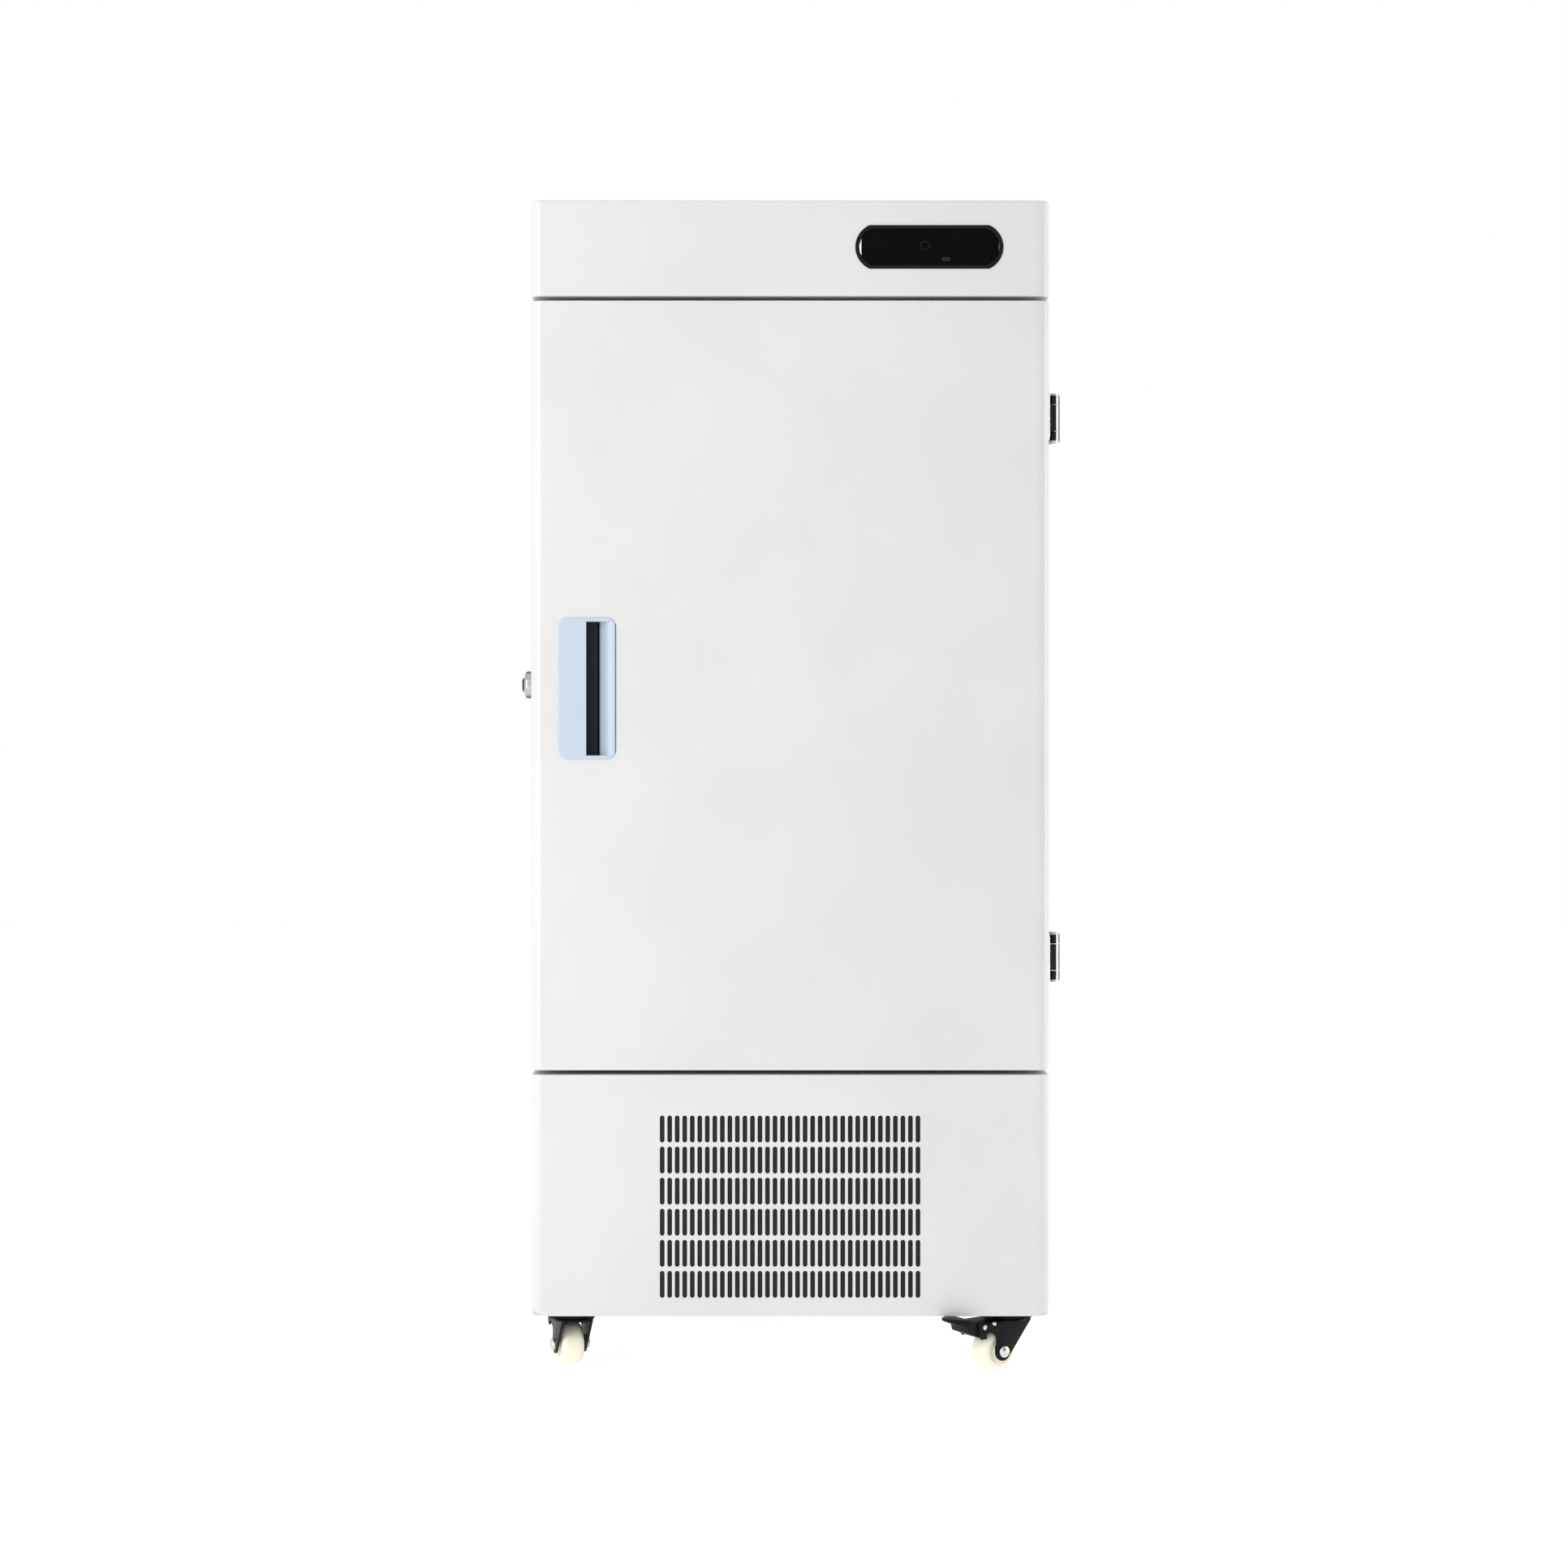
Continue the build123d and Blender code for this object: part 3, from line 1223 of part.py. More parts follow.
def compressor(centre_x):
    """Welded can with a domed top, a foot plate and a terminal cover."""
    can_top = compressor_height - compressor_radius * 0.35
    with BuildPart() as can:
        can_foot = (centre_x, compressor_centre_y, foot_z + compressor_foot_thickness)
        with BuildSketch(Plane(origin=can_foot, x_dir=(1, 0, 0), z_dir=(0, -1, 0))):
            with BuildLine():
                Polyline(
                    (0, 0),
                    (compressor_radius * 0.8, 0),
                    (compressor_radius, compressor_radius * 0.25),
                    (compressor_radius, can_top),
                    (compressor_radius * 0.85, compressor_height - compressor_radius * 0.12),
                    (compressor_radius * 0.5, compressor_height),
                    (0, compressor_height),
                    close=True,
                )
            make_face()
        revolve(axis=Axis((centre_x, compressor_centre_y, 0), (0, 0, 1)))
        with BuildSketch(Plane.XY.offset(foot_z)):
            with Locations((centre_x, compressor_centre_y)):
                foot_size = 2 * (grommet_spread + compressor_foot_margin)
                RectangleRounded(foot_size, foot_size, compressor_foot_radius)
                with GridLocations(2 * grommet_spread, 2 * grommet_spread, 2, 2):
                    Circle(foot_bolt_radius, mode=Mode.SUBTRACT)
        extrude(amount=compressor_foot_thickness)
        with BuildSketch(Plane.XZ.offset(-(compressor_centre_y - compressor_radius - terminal_reach))):
            with Locations((centre_x, foot_z + terminal_lift)):
                RectangleRounded(terminal_width, terminal_height, terminal_corner_radius)
        extrude(amount=-terminal_depth)
    return can.part


with BuildPart() as compressor_high_stage:
    add(compressor(-compressor_centre_x))
compressor_high_stage.part.label = "compressor_high_stage"
export_step(compressor_high_stage.part, "parts/compressor_high_stage.step")

with BuildPart() as compressor_low_stage:
    add(compressor(compressor_centre_x))
compressor_low_stage.part.label = "compressor_low_stage"
export_step(compressor_low_stage.part, "parts/compressor_low_stage.step")

with BuildPart() as compressor_grommets:
    with BuildSketch(Plane.XY.offset(chassis_top_z)):
        with Locations((0, compressor_centre_y)):
            with GridLocations(2 * compressor_centre_x, 0, 2, 1):
                with GridLocations(2 * grommet_spread, 2 * grommet_spread, 2, 2):
                    Circle(grommet_radius)
    extrude(amount=grommet_height)
compressor_grommets.part.label = "compressor_grommets"
export_step(compressor_grommets.part, "parts/compressor_grommets.step")

# Refrigerant lines: a suction riser to the coil, a discharge line to the condenser, two driers
compressor_top_z = foot_z + compressor_foot_thickness + compressor_height
riser_x = riser_slot_width / 4
line_top_z = lower_top_z - line_bend


def tube(points, radius):
    """Round tube along straight runs joined by equal bends."""
    with BuildPart() as pipe:
        with BuildLine() as route:
            FilletPolyline(*points, radius=line_bend)
        with BuildSketch(Plane(origin=points[0], z_dir=route.wires()[0] % 0)):
            Circle(radius)
        sweep(path=route.wires()[0])
    return pipe.part


drier_z = chassis_top_z + seat_gap
with BuildPart() as refrigerant_lines:
    add(
        tube(
            [
                (compressor_centre_x, compressor_centre_y, compressor_top_z + seat_gap),
                (compressor_centre_x, compressor_centre_y, line_top_z),
                (riser_x, compressor_centre_y, line_top_z),
                (riser_x, riser_y, line_top_z),
                (riser_x, riser_y, coil_bottom_z - coil_tube_radius - seat_gap - line_radius),
            ],
            line_radius,
        )
    )
    add(
        tube(
            [
                (-compressor_centre_x, compressor_centre_y, compressor_top_z + seat_gap),
                (-compressor_centre_x, compressor_centre_y, line_top_z),
                (-compressor_centre_x, condenser_front_y + condenser_thickness / 2, line_top_z),
                (
                    -compressor_centre_x,
                    condenser_front_y + condenser_thickness / 2,
                    condenser_centre_z + condenser_height / 2 + seat_gap,
                ),
            ],
            line_radius,
        )
    )
    for drier_axis_x in (-drier_x, drier_x):
        drier_foot = (drier_axis_x, drier_y, drier_z)
        with BuildSketch(Plane(origin=drier_foot, x_dir=(1, 0, 0), z_dir=(0, -1, 0))):
            with BuildLine():
                Polyline(
                    (0, 0),
                    (line_radius, 0),
                    (drier_radius, drier_radius),
                    (drier_radius, drier_length - drier_radius),
                    (line_radius, drier_length),
                    (0, drier_length),
                    close=True,
                )
            make_face()
        revolve(axis=Axis(drier_foot, (0, 0, 1)))
refrigerant_lines.part.label = "refrigerant_lines"
export_step(refrigerant_lines.part, "parts/refrigerant_lines.step")

# Casters
plate_bottom_z = floor_z - caster_plate_thickness
fork_top_z = plate_bottom_z - race_height
fork_under_z = fork_top_z - fork_sheet
caster_x = half_width - caster_inset_x
caster_y = cabinet_depth / 2 - caster_inset_y
caster_places = {
    "front_left": (-caster_x, -caster_y, front_left_trail_angle, True),
    "front_right": (caster_x, -caster_y, front_right_trail_angle, True),
    "rear_left": (-caster_x, caster_y, rear_left_trail_angle, False),
    "rear_right": (caster_x, caster_y, rear_right_trail_angle, False),
}

with BuildPart() as caster_plates:
    for x, y, trail_angle, braked in caster_places.values():
        with BuildSketch(Plane(origin=(x, y, plate_bottom_z))):
            RectangleRounded(caster_plate_size, caster_plate_size, plate_corner_radius)
            with GridLocations(caster_bolt_spread, caster_bolt_spread, 2, 2):
                Circle(caster_bolt_radius + pin_clearance, mode=Mode.SUBTRACT)
        extrude(amount=caster_plate_thickness)
        with BuildSketch(Plane(origin=(x, y, fork_top_z))):
            Circle(race_radius)
        extrude(amount=race_height)
        with BuildSketch(Plane(origin=(x, y, fork_under_z - seat_gap))):
            Circle(king_pin_radius)
        extrude(amount=fork_sheet + seat_gap)
        with BuildSketch(Plane(origin=(x, y, fork_under_z - seat_gap))):
            Circle(king_head_radius)
        extrude(amount=-king_head_height)
caster_plates.part.label = "caster_plates"
export_step(caster_plates.part, "parts/caster_plates.step")

with BuildPart() as caster_bolts:
    for x, y, trail_angle, braked in caster_places.values():
        with BuildSketch(Plane(origin=(x, y, plate_bottom_z - bolt_head_height))):
            with GridLocations(caster_bolt_spread, caster_bolt_spread, 2, 2):
                RegularPolygon(bolt_head_radius, 6)
        extrude(amount=bolt_head_height)
        with BuildSketch(Plane(origin=(x, y, plate_bottom_z))):
            with GridLocations(caster_bolt_spread, caster_bolt_spread, 2, 2):
                Circle(caster_bolt_radius)
        extrude(amount=caster_plate_thickness + chassis_sheet + bolt_end)
caster_bolts.part.label = "caster_bolts"
export_step(caster_bolts.part, "parts/caster_bolts.step")


def side_view_plane(x, y, trail_angle):
    """Plane through a swivel axis: sketch x runs along the trail, sketch y is the height."""
    turn = math.radians(trail_angle)
    along = (math.cos(turn), math.sin(turn), 0)
    across = (math.sin(turn), -math.cos(turn), 0)
    return Plane(origin=(x, y, 0), x_dir=along, z_dir=across)


def level_plane(x, y, z, trail_angle):
    """Level plane at a height whose sketch x runs along the trail."""
    turn = math.radians(trail_angle)
    return Plane(origin=(x, y, z), x_dir=(math.cos(turn), math.sin(turn), 0), z_dir=(0, 0, 1))


def fork_leg_outline(braked):
    """Side view of one fork leg: a slanted leading edge, a round axle boss and, when braked, an arch."""
    tail = fork_tail
    with BuildSketch() as leg:
        with Locations((caster_trail, wheel_radius)):
            Circle(fork_boss_radius)
        with Locations(((tail - fork_lead) / 2, fork_top_z - fork_sheet / 2)):
            Rectangle(tail + fork_lead, fork_sheet)
        make_hull()
        if braked:
            with BuildLine():
                Polyline(
                    (tail - fork_web_overlap, fork_top_z),
                    (braked_fork_tail, fork_top_z),
                    (braked_fork_tail, fork_beak_height),
                    (braked_fork_tail - fork_beak_step, fork_beak_height - fork_beak_step),
                    (fork_arch_trail + fork_beak_step, fork_beak_height - fork_beak_step),
                    (tail, fork_arch_height),
                    close=True,
                )
            make_face()
            with Locations((fork_arch_trail, fork_arch_height)):
                Circle(fork_arch_radius, mode=Mode.SUBTRACT)
        with Locations((caster_trail, wheel_radius)):
            Circle(axle_radius + pin_clearance, mode=Mode.SUBTRACT)
        if braked:
            with Locations((pedal_pivot_trail, fork_top_z - pedal_pivot_drop)):
                Circle(pedal_pin_radius + pin_clearance, mode=Mode.SUBTRACT)
    return leg.sketch


def caster_fork(x, y, trail_angle, braked):
    """Pressed fork: two legs under a round top plate that turns on the king pin."""
    side_view = side_view_plane(x, y, trail_angle)
    top_plane = level_plane(x, y, fork_under_z, trail_angle)
    bridge = (braked_fork_tail if braked else fork_tail) + fork_lead
    with BuildPart() as fork:
        for side in (1, -1):
            with BuildSketch(side_view.offset(side * fork_half_gap)):
                add(fork_leg_outline(braked))
            extrude(amount=side * fork_sheet)
        with BuildSketch(top_plane):
            Circle(fork_top_radius)
            with Locations((bridge / 2 - fork_lead, 0)):
                Rectangle(bridge, 2 * (fork_half_gap + fork_sheet))
            Circle(king_pin_radius + pin_clearance, mode=Mode.SUBTRACT)
        extrude(amount=fork_sheet)
    return fork.part


def caster_wheel(x, y, trail_angle):
    """Solid nylon wheel with a rounded tread and a raised hub on each side."""
    side_view = side_view_plane(x, y, trail_angle)
    centre = side_view.from_local_coords((caster_trail, wheel_radius, 0))
    across = side_view.z_dir
    section = Plane(origin=centre, x_dir=across, z_dir=across.cross(Vector(0, 0, 1)))
    half_rim = wheel_width / 2
    half_hub = fork_half_gap - seat_gap
    with BuildPart() as wheel:
        with BuildSketch(section) as half_section:
            with BuildLine():
                Polyline(
                    (-half_hub, axle_radius + pin_clearance),
                    (-half_hub, hub_radius),
                    (-half_rim, hub_radius + hub_step),
                    (-half_rim, wheel_radius),
                    (half_rim, wheel_radius),
                    (half_rim, hub_radius + hub_step),
                    (half_hub, hub_radius),
                    (half_hub, axle_radius + pin_clearance),
                    close=True,
                )
            make_face()
            fillet(half_section.vertices().group_by(Axis.Y)[-1], wheel_edge_radius)
        revolve(axis=Axis(centre, across))
    return wheel.part


def caster_axle(x, y, trail_angle):
    """Axle bolt with a round head, and the nut on its far end."""
    side_view = side_view_plane(x, y, trail_angle)
    centre = (caster_trail, wheel_radius)
    outer = fork_half_gap + fork_sheet
    with BuildPart() as axle:
        with BuildSketch(side_view.offset(-outer - axle_head_height)):
            with Locations(centre):
                Circle(axle_head_radius)
        extrude(amount=axle_head_height)
        across = Axis(side_view.origin, side_view.z_dir)
        head_face = axle.faces().filter_by(GeomType.PLANE).sort_by(across)[0]
        chamfer(head_face.edges(), axle_head_chamfer)
        with BuildSketch(side_view.offset(-outer)):
            with Locations(centre):
                Circle(axle_radius)
        extrude(amount=2 * outer + axle_nut_height + axle_end)
        with BuildSketch(side_view.offset(outer)):
            with Locations(centre):
                RegularPolygon(axle_nut_radius, 6)
                Circle(axle_radius + pin_clearance, mode=Mode.SUBTRACT)
        extrude(amount=axle_nut_height)
    return axle.part


def brake_pedal(x, y, trail_angle):
    """Pedal with its own pivot ends, a shoe over the wheel and a tapered tread behind the fork."""
    side_view = side_view_plane(x, y, trail_angle)
    pivot = (pedal_pivot_trail, fork_top_z - pedal_pivot_drop)
    half = fork_half_gap - seat_gap
    outer = fork_half_gap + fork_sheet
    shoe_z = fork_beak_height - fork_beak_step
    with BuildPart() as pedal:
        with BuildSketch(side_view.offset(-half)):
            with Locations(pivot):
                Circle(pedal_pivot_boss)
            with BuildLine():
                Polyline(
                    (pedal_pivot_trail - 4, fork_under_z - 3.5),
                    (pedal_pivot_trail - 6, shoe_z),
                    (pedal_pivot_trail - 1, shoe_z - 0.5),
                    (pedal_pivot_trail + 10, shoe_z + 2),
                    (pedal_pivot_trail + 21, shoe_z + 4.5),
                    (pedal_pivot_trail + 23, shoe_z + 11),
                    (pedal_reach, fork_top_z + 1.5),
                    (pedal_reach, fork_top_z + pedal_tip_high + 0.5),
                    (pedal_pivot_trail + 18, fork_top_z + 2),
                    (braked_fork_tail + 2, fork_under_z - 0.5),
                    (pedal_pivot_trail + 2, fork_under_z - 0.7),
                    close=True,
                )
            make_face()
        extrude(amount=2 * half)
        with BuildSketch(level_plane(x, y, shoe_z - pedal_tip_low, trail_angle)):
            with Locations((pedal_waist / 2, 0)):
                Rectangle(pedal_waist, 2 * half)
            with Locations((pedal_reach - pedal_tip_radius, 0)):
                Circle(pedal_tip_radius)
            make_hull()
        extrude(amount=plate_bottom_z - shoe_z + pedal_tip_low, mode=Mode.INTERSECT)
        with BuildSketch(side_view.offset(-outer)):
            with Locations(pivot):
                Circle(pedal_pin_radius)
        extrude(amount=2 * outer)
    return pedal.part


for place, (x, y, trail_angle, braked) in caster_places.items():
    fork_part = caster_fork(x, y, trail_angle, braked)
    fork_part.label = f"caster_{place}_fork"
    export_step(fork_part, f"parts/caster_{place}_fork.step")
    wheel_part = caster_wheel(x, y, trail_angle)
    wheel_part.label = f"caster_{place}_wheel"
    export_step(wheel_part, f"parts/caster_{place}_wheel.step")
    axle_part = caster_axle(x, y, trail_angle)
    axle_part.label = f"caster_{place}_axle"
    export_step(axle_part, f"parts/caster_{place}_axle.step")
    if braked:
        pedal_part = brake_pedal(x, y, trail_angle)
        pedal_part.label = f"brake_pedal_{place}"
        export_step(pedal_part, f"parts/brake_pedal_{place}.step")
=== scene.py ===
"""Looks of an upright ultra low temperature freezer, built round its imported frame.

Every piece is drawn in millimetres in the frame's own axes and scaled to metres when it is delivered:
X to the right, Y to the rear, Z up, with the floor at zero and the front face at Y = -330.
"""

import json
import logging
import math
from dataclasses import dataclass
from enum import Enum
from typing import Any, Callable, Iterable, Optional, Sequence, Union

import bmesh
import bpy
from mathutils import Matrix, Vector

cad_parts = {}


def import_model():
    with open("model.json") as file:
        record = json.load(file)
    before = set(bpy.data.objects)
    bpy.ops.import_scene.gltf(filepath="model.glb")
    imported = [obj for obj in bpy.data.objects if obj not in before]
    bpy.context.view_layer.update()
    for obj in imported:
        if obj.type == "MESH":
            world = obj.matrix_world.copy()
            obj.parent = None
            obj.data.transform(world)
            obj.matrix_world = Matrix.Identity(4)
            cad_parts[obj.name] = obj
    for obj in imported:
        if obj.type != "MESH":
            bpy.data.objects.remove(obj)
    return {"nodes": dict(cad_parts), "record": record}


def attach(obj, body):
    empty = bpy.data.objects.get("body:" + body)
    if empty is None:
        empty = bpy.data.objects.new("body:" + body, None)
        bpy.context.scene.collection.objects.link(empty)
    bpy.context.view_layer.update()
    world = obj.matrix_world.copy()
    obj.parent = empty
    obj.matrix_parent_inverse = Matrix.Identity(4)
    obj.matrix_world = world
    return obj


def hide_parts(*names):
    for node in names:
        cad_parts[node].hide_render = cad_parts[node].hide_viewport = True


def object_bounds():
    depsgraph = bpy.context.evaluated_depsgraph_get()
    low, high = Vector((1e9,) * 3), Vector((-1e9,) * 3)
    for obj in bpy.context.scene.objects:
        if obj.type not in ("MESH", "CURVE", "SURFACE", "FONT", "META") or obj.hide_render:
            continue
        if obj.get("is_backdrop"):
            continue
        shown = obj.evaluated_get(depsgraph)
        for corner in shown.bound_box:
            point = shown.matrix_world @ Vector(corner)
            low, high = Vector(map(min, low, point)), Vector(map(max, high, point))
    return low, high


logging.basicConfig(level=logging.INFO, format="%(message)s")
log = logging.getLogger("freezer")

Point2 = tuple[float, float]
Point3 = tuple[float, float, float]
Colour = tuple[float, float, float]
Number = Union[float, "Reading"]
Loop = Sequence[bmesh.types.BMVert]

MM = 0.001

# Places and sizes that more than one piece needs, in millimetres
FRONT = -330.0
HALF_WIDTH = 300.0
DOOR_REAR = -262.0
CASE_FRONT = -250.0
HANDLE_CENTRE = (-234.2, 792.2)
HANDLE_BODY = (62.5, 159.7, 9.0)
DISPLAY_CENTRE = (160.7, 1301.6)
HINGE_LEVELS = (477.75, 1113.75)
LOCK_LEVEL = 798.0

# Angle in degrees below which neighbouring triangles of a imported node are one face
FLAT_ANGLE = 1.0


# Shader graphs


class Reading:
    """A value socket in a shader, with ordinary arithmetic."""

    def __init__(self, graph: "Graph", socket: bpy.types.NodeSocket) -> None:
        """Holds the graph and the socket."""
        self.graph = graph
        self.socket = socket

    def _with(self, operation: str, *others: Any) -> "Reading":
        """Adds a Math node that takes this value first."""
        values = {0: self, **{place + 1: other for place, other in enumerate(others)}}
        return self.graph.value("ShaderNodeMath", {"operation": operation}, values)

    def _after(self, operation: str, first: Any) -> "Reading":
        """Adds a Math node that takes this value second."""
        return self.graph.value("ShaderNodeMath", {"operation": operation}, {0: first, 1: self})

    def __add__(self, other: Any) -> "Reading":
        """Sum."""
        return self._with("ADD", other)

    __radd__ = __add__

    def __mul__(self, other: Any) -> "Reading":
        """Product."""
        return self._with("MULTIPLY", other)

    __rmul__ = __mul__

    def __sub__(self, other: Any) -> "Reading":
        """Difference."""
        return self._with("SUBTRACT", other)

    def __rsub__(self, other: Any) -> "Reading":
        """Difference from a number."""
        return self._after("SUBTRACT", other)

    def sine(self) -> "Reading":
        """Sine of the value in radians."""
        return self._with("SINE")

    def size(self) -> "Reading":
        """The value without its sign."""
        return self._with("ABSOLUTE")

    def lesser(self, other: Any) -> "Reading":
        """The lower of two values."""
        return self._with("MINIMUM", other)

    def greater(self, other: Any) -> "Reading":
        """The higher of two values."""
        return self._with("MAXIMUM", other)

    def step(self, low: float, high: float) -> "Reading":
        """Rises smoothly from 0 to 1 between two values.

        Args:
            low: The value at which the result is still 0.
            high: The value from which the result is 1.

        Returns:
            The eased value.
        """
        settings = {"interpolation_type": "SMOOTHSTEP"}
        values = {"Value": self, "From Min": low, "From Max": high}
        return self.graph.value("ShaderNodeMapRange", settings, values)


class Wiring:
    """A node tree that takes each node with its settings and sockets in one call."""

    tree: bpy.types.NodeTree

    def node(self, kind: str, settings: dict[str, Any], values: dict[Any, Any]) -> bpy.types.Node:
        """Adds a node.

        Args:
            kind: The node's type.
            settings: Its own properties, set before its sockets.
            values: Numbers, colours or links by the name or the number of a socket.

        Returns:
            The node.
        """
        made = self.tree.nodes.new(kind)
        for key, setting in settings.items():
            setattr(made, key, setting)
        for key, value in values.items():
            self.feed(made.inputs[key], value)
        return made

    def feed(self, socket: bpy.types.NodeSocket, value: Any) -> None:
        """Links or sets one socket.

        Args:
            socket: The input.
            value: A reading, a socket, a number or a colour.
        """
        if isinstance(value, Reading):
            self.tree.links.new(value.socket, socket)
        elif isinstance(value, bpy.types.NodeSocket):
            self.tree.links.new(value, socket)
        elif isinstance(value, tuple) and len(value) == 3 and len(socket.default_value) == 4:
            socket.default_value = (*value, 1.0)
        else:
            socket.default_value = value


class Graph(Wiring):
    """The node tree of one material."""

    def __init__(self, name: str) -> None:
        """Starts a material with a Principled shader."""
        self.material = bpy.data.materials.new(name)
        self.material.use_nodes = True
        self.tree = self.material.node_tree
        self.tree.nodes.clear()
        self.output = self.tree.nodes.new("ShaderNodeOutputMaterial")
        self.shader = self.tree.nodes.new("ShaderNodeBsdfPrincipled")
        self.tree.links.new(self.shader.outputs[0], self.output.inputs[0])

    def value(self, kind: str, settings: dict[str, Any], values: dict[Any, Any]) -> Reading:
        """Adds a node and reads its first output."""
        return Reading(self, self.node(kind, settings, values).outputs[0])

    def place(self, stretch: Point3 = (1.0, 1.0, 1.0)) -> bpy.types.NodeSocket:
        """Object coordinates in millimetres, stretched along the axes.

        Args:
            stretch: Factors along X, Y and Z; a low one draws the pattern out along that axis.

        Returns:
            The vector socket.
        """
        origin = self.node("ShaderNodeTexCoord", {}, {})
        values = {"Vector": origin.outputs["Object"], "Scale": tuple(factor / MM for factor in stretch)}
        return self.node("ShaderNodeMapping", {}, values).outputs[0]

    def noise(self, spacing: float, detail: float = 2.0, stretch: Point3 = (1.0, 1.0, 1.0)) -> Reading:
        """Soft noise from 0 to 1.

        Args:
            spacing: Size of its features in millimetres.
            detail: Number of finer octaves.
            stretch: Factors along the axes.

        Returns:
            The reading.
        """
        values = {"Vector": self.place(stretch), "Scale": 1.0 / spacing, "Detail": detail, "Roughness": 0.55}
        return self.value("ShaderNodeTexNoise", {}, values)

    def cells(self, spacing: float) -> bpy.types.Node:
        """Cell pattern of a spacing in millimetres."""
        return self.node("ShaderNodeTexVoronoi", {}, {"Vector": self.place(), "Scale": 1.0 / spacing})

    def axes(self) -> list[Reading]:
        """The object coordinates in millimetres, one reading for each axis."""
        split = self.node("ShaderNodeSeparateXYZ", {}, {0: self.place()})
        return [Reading(self, output) for output in split.outputs]

    def blend(self, low: Any, high: Any, share: Number) -> bpy.types.NodeSocket:
        """Mixes two colours.

        Args:
            low: Colour where the share is 0.
            high: Colour where the share is 1.
            share: The share of the second colour.

        Returns:
            The colour socket.
        """
        mixer = self.node("ShaderNodeMix", {"data_type": "RGBA"}, {})
        self.feed(mixer.inputs[0], share)
        self.feed(mixer.inputs[6], low)
        self.feed(mixer.inputs[7], high)
        return mixer.outputs[2]

    def relief(self, height: Reading, depth: float) -> bpy.types.NodeSocket:
        """Bump from a height.

        Args:
            height: The height from 0 to 1.
            depth: What 1 stands for, in millimetres.

        Returns:
            The normal socket.
        """
        values = {"Height": height, "Distance": depth * MM, "Strength": 1.0}
        return self.node("ShaderNodeBump", {}, values).outputs[0]

    def finish(self, **sockets: Any) -> bpy.types.Material:
        """Feeds the shader's sockets, named with underscores for spaces, and returns the material."""
        for name, value in sockets.items():
            words = " ".join(word if word == "IOR" else word.capitalize() for word in name.split("_"))
            self.feed(self.shader.inputs[words], value)
        return self.material


def shade(colour: Colour, factor: float) -> Colour:
    """A colour made lighter or darker."""
    return tuple(min(1.0, channel * factor) for channel in colour)


# Finishes


class Grain(Enum):
    """Direction in which a sheet was brushed or rolled."""

    ALONG_X = (0.02, 1.0, 1.0)
    ALONG_Y = (1.0, 0.02, 1.0)


@dataclass(frozen=True)
class Finish:
    """A finish: a name, the record's slot it belongs to, and a base colour."""

    name: str
    slot: str
    colour: Colour

    def make(self) -> bpy.types.Material:
        """Builds the material."""
        raise NotImplementedError


@dataclass(frozen=True)
class Paint(Finish):
    """Baked powder paint with a fine orange peel and faint cloudiness."""

    roughness: float = 0.34
    peel: float = 1.6
    peel_depth: float = 0.012
    specular: float = 0.5

    def make(self) -> bpy.types.Material:
        """Builds the paint.

        Returns:
            The material.
        """
        graph = Graph(self.name)
        cloud = graph.noise(180.0, 3.0)
        wipe = graph.noise(38.0, 2.0, (1.0, 1.0, 0.3))
        speck = graph.noise(0.5, 1.0)
        peel = graph.noise(self.peel, 2.0) * 0.8 + speck * 0.2
        tint = graph.blend(shade(self.colour, 0.972), shade(self.colour, 1.015), cloud.step(0.3, 0.7))
        return graph.finish(
            base_color=tint,
            roughness=wipe * 0.07 + cloud * 0.03 + (self.roughness - 0.05),
            normal=graph.relief(peel, self.peel_depth),
            specular_IOR_level=self.specular,
        )


@dataclass(frozen=True)
class Moulding(Finish):
    """Moulded plastic with a fine spark-eroded texture."""

    roughness: float = 0.42
    texture: float = 0.55
    texture_depth: float = 0.015
    specular: float = 0.5

    def tint(self, graph: Graph, flow: Reading) -> bpy.types.NodeSocket:
        """The plastic's colour, with the flow of its moulding."""
        return graph.blend(shade(self.colour, 0.96), shade(self.colour, 1.03), flow)

    def make(self) -> bpy.types.Material:
        """Builds the plastic.

        Returns:
            The material.
        """
        graph = Graph(self.name)
        flow = graph.noise(60.0, 3.0, (1.0, 1.0, 0.4))
        texture = graph.noise(self.texture, 2.0)
        return graph.finish(
            base_color=self.tint(graph, flow),
            roughness=flow * 0.06 + texture * 0.08 + (self.roughness - 0.07),
            normal=graph.relief(texture, self.texture_depth),
            specular_IOR_level=self.specular,
        )


@dataclass(frozen=True)
class Recess(Moulding):
    """Moulded plastic with painted shade far into the finger hollow, and a painted shadow line at the scoop's
    right rim.
    """

    # Painted shade: the near-black colour far into the finger hollow, where the slot lies in shadow.
    deep: Colour = (0.010, 0.018, 0.032)
    depths: Point2 = (-320.0, -309.0)
    # Painted shadow line: the dark colour along the outer side of the scoop's right rim.
    edge: Colour = (0.09, 0.11, 0.15)
    edge_at: Point2 = (-202.4, -201.5)

    def tint(self, graph: Graph, flow: Reading) -> bpy.types.NodeSocket:
        """The plastic's colour with painted shade in the hollow and a painted shadow line on the rim."""
        plain = graph.blend(shade(self.colour, 0.98), shade(self.colour, 1.02), flow)
        across, back, _ = graph.axes()
        # Paints the shadow line on the rim's outer side, then the shade far into the hollow.
        rim_shadowed = graph.blend(plain, self.edge, across.step(*self.edge_at))
        return graph.blend(rim_shadowed, self.deep, back.step(*self.depths))


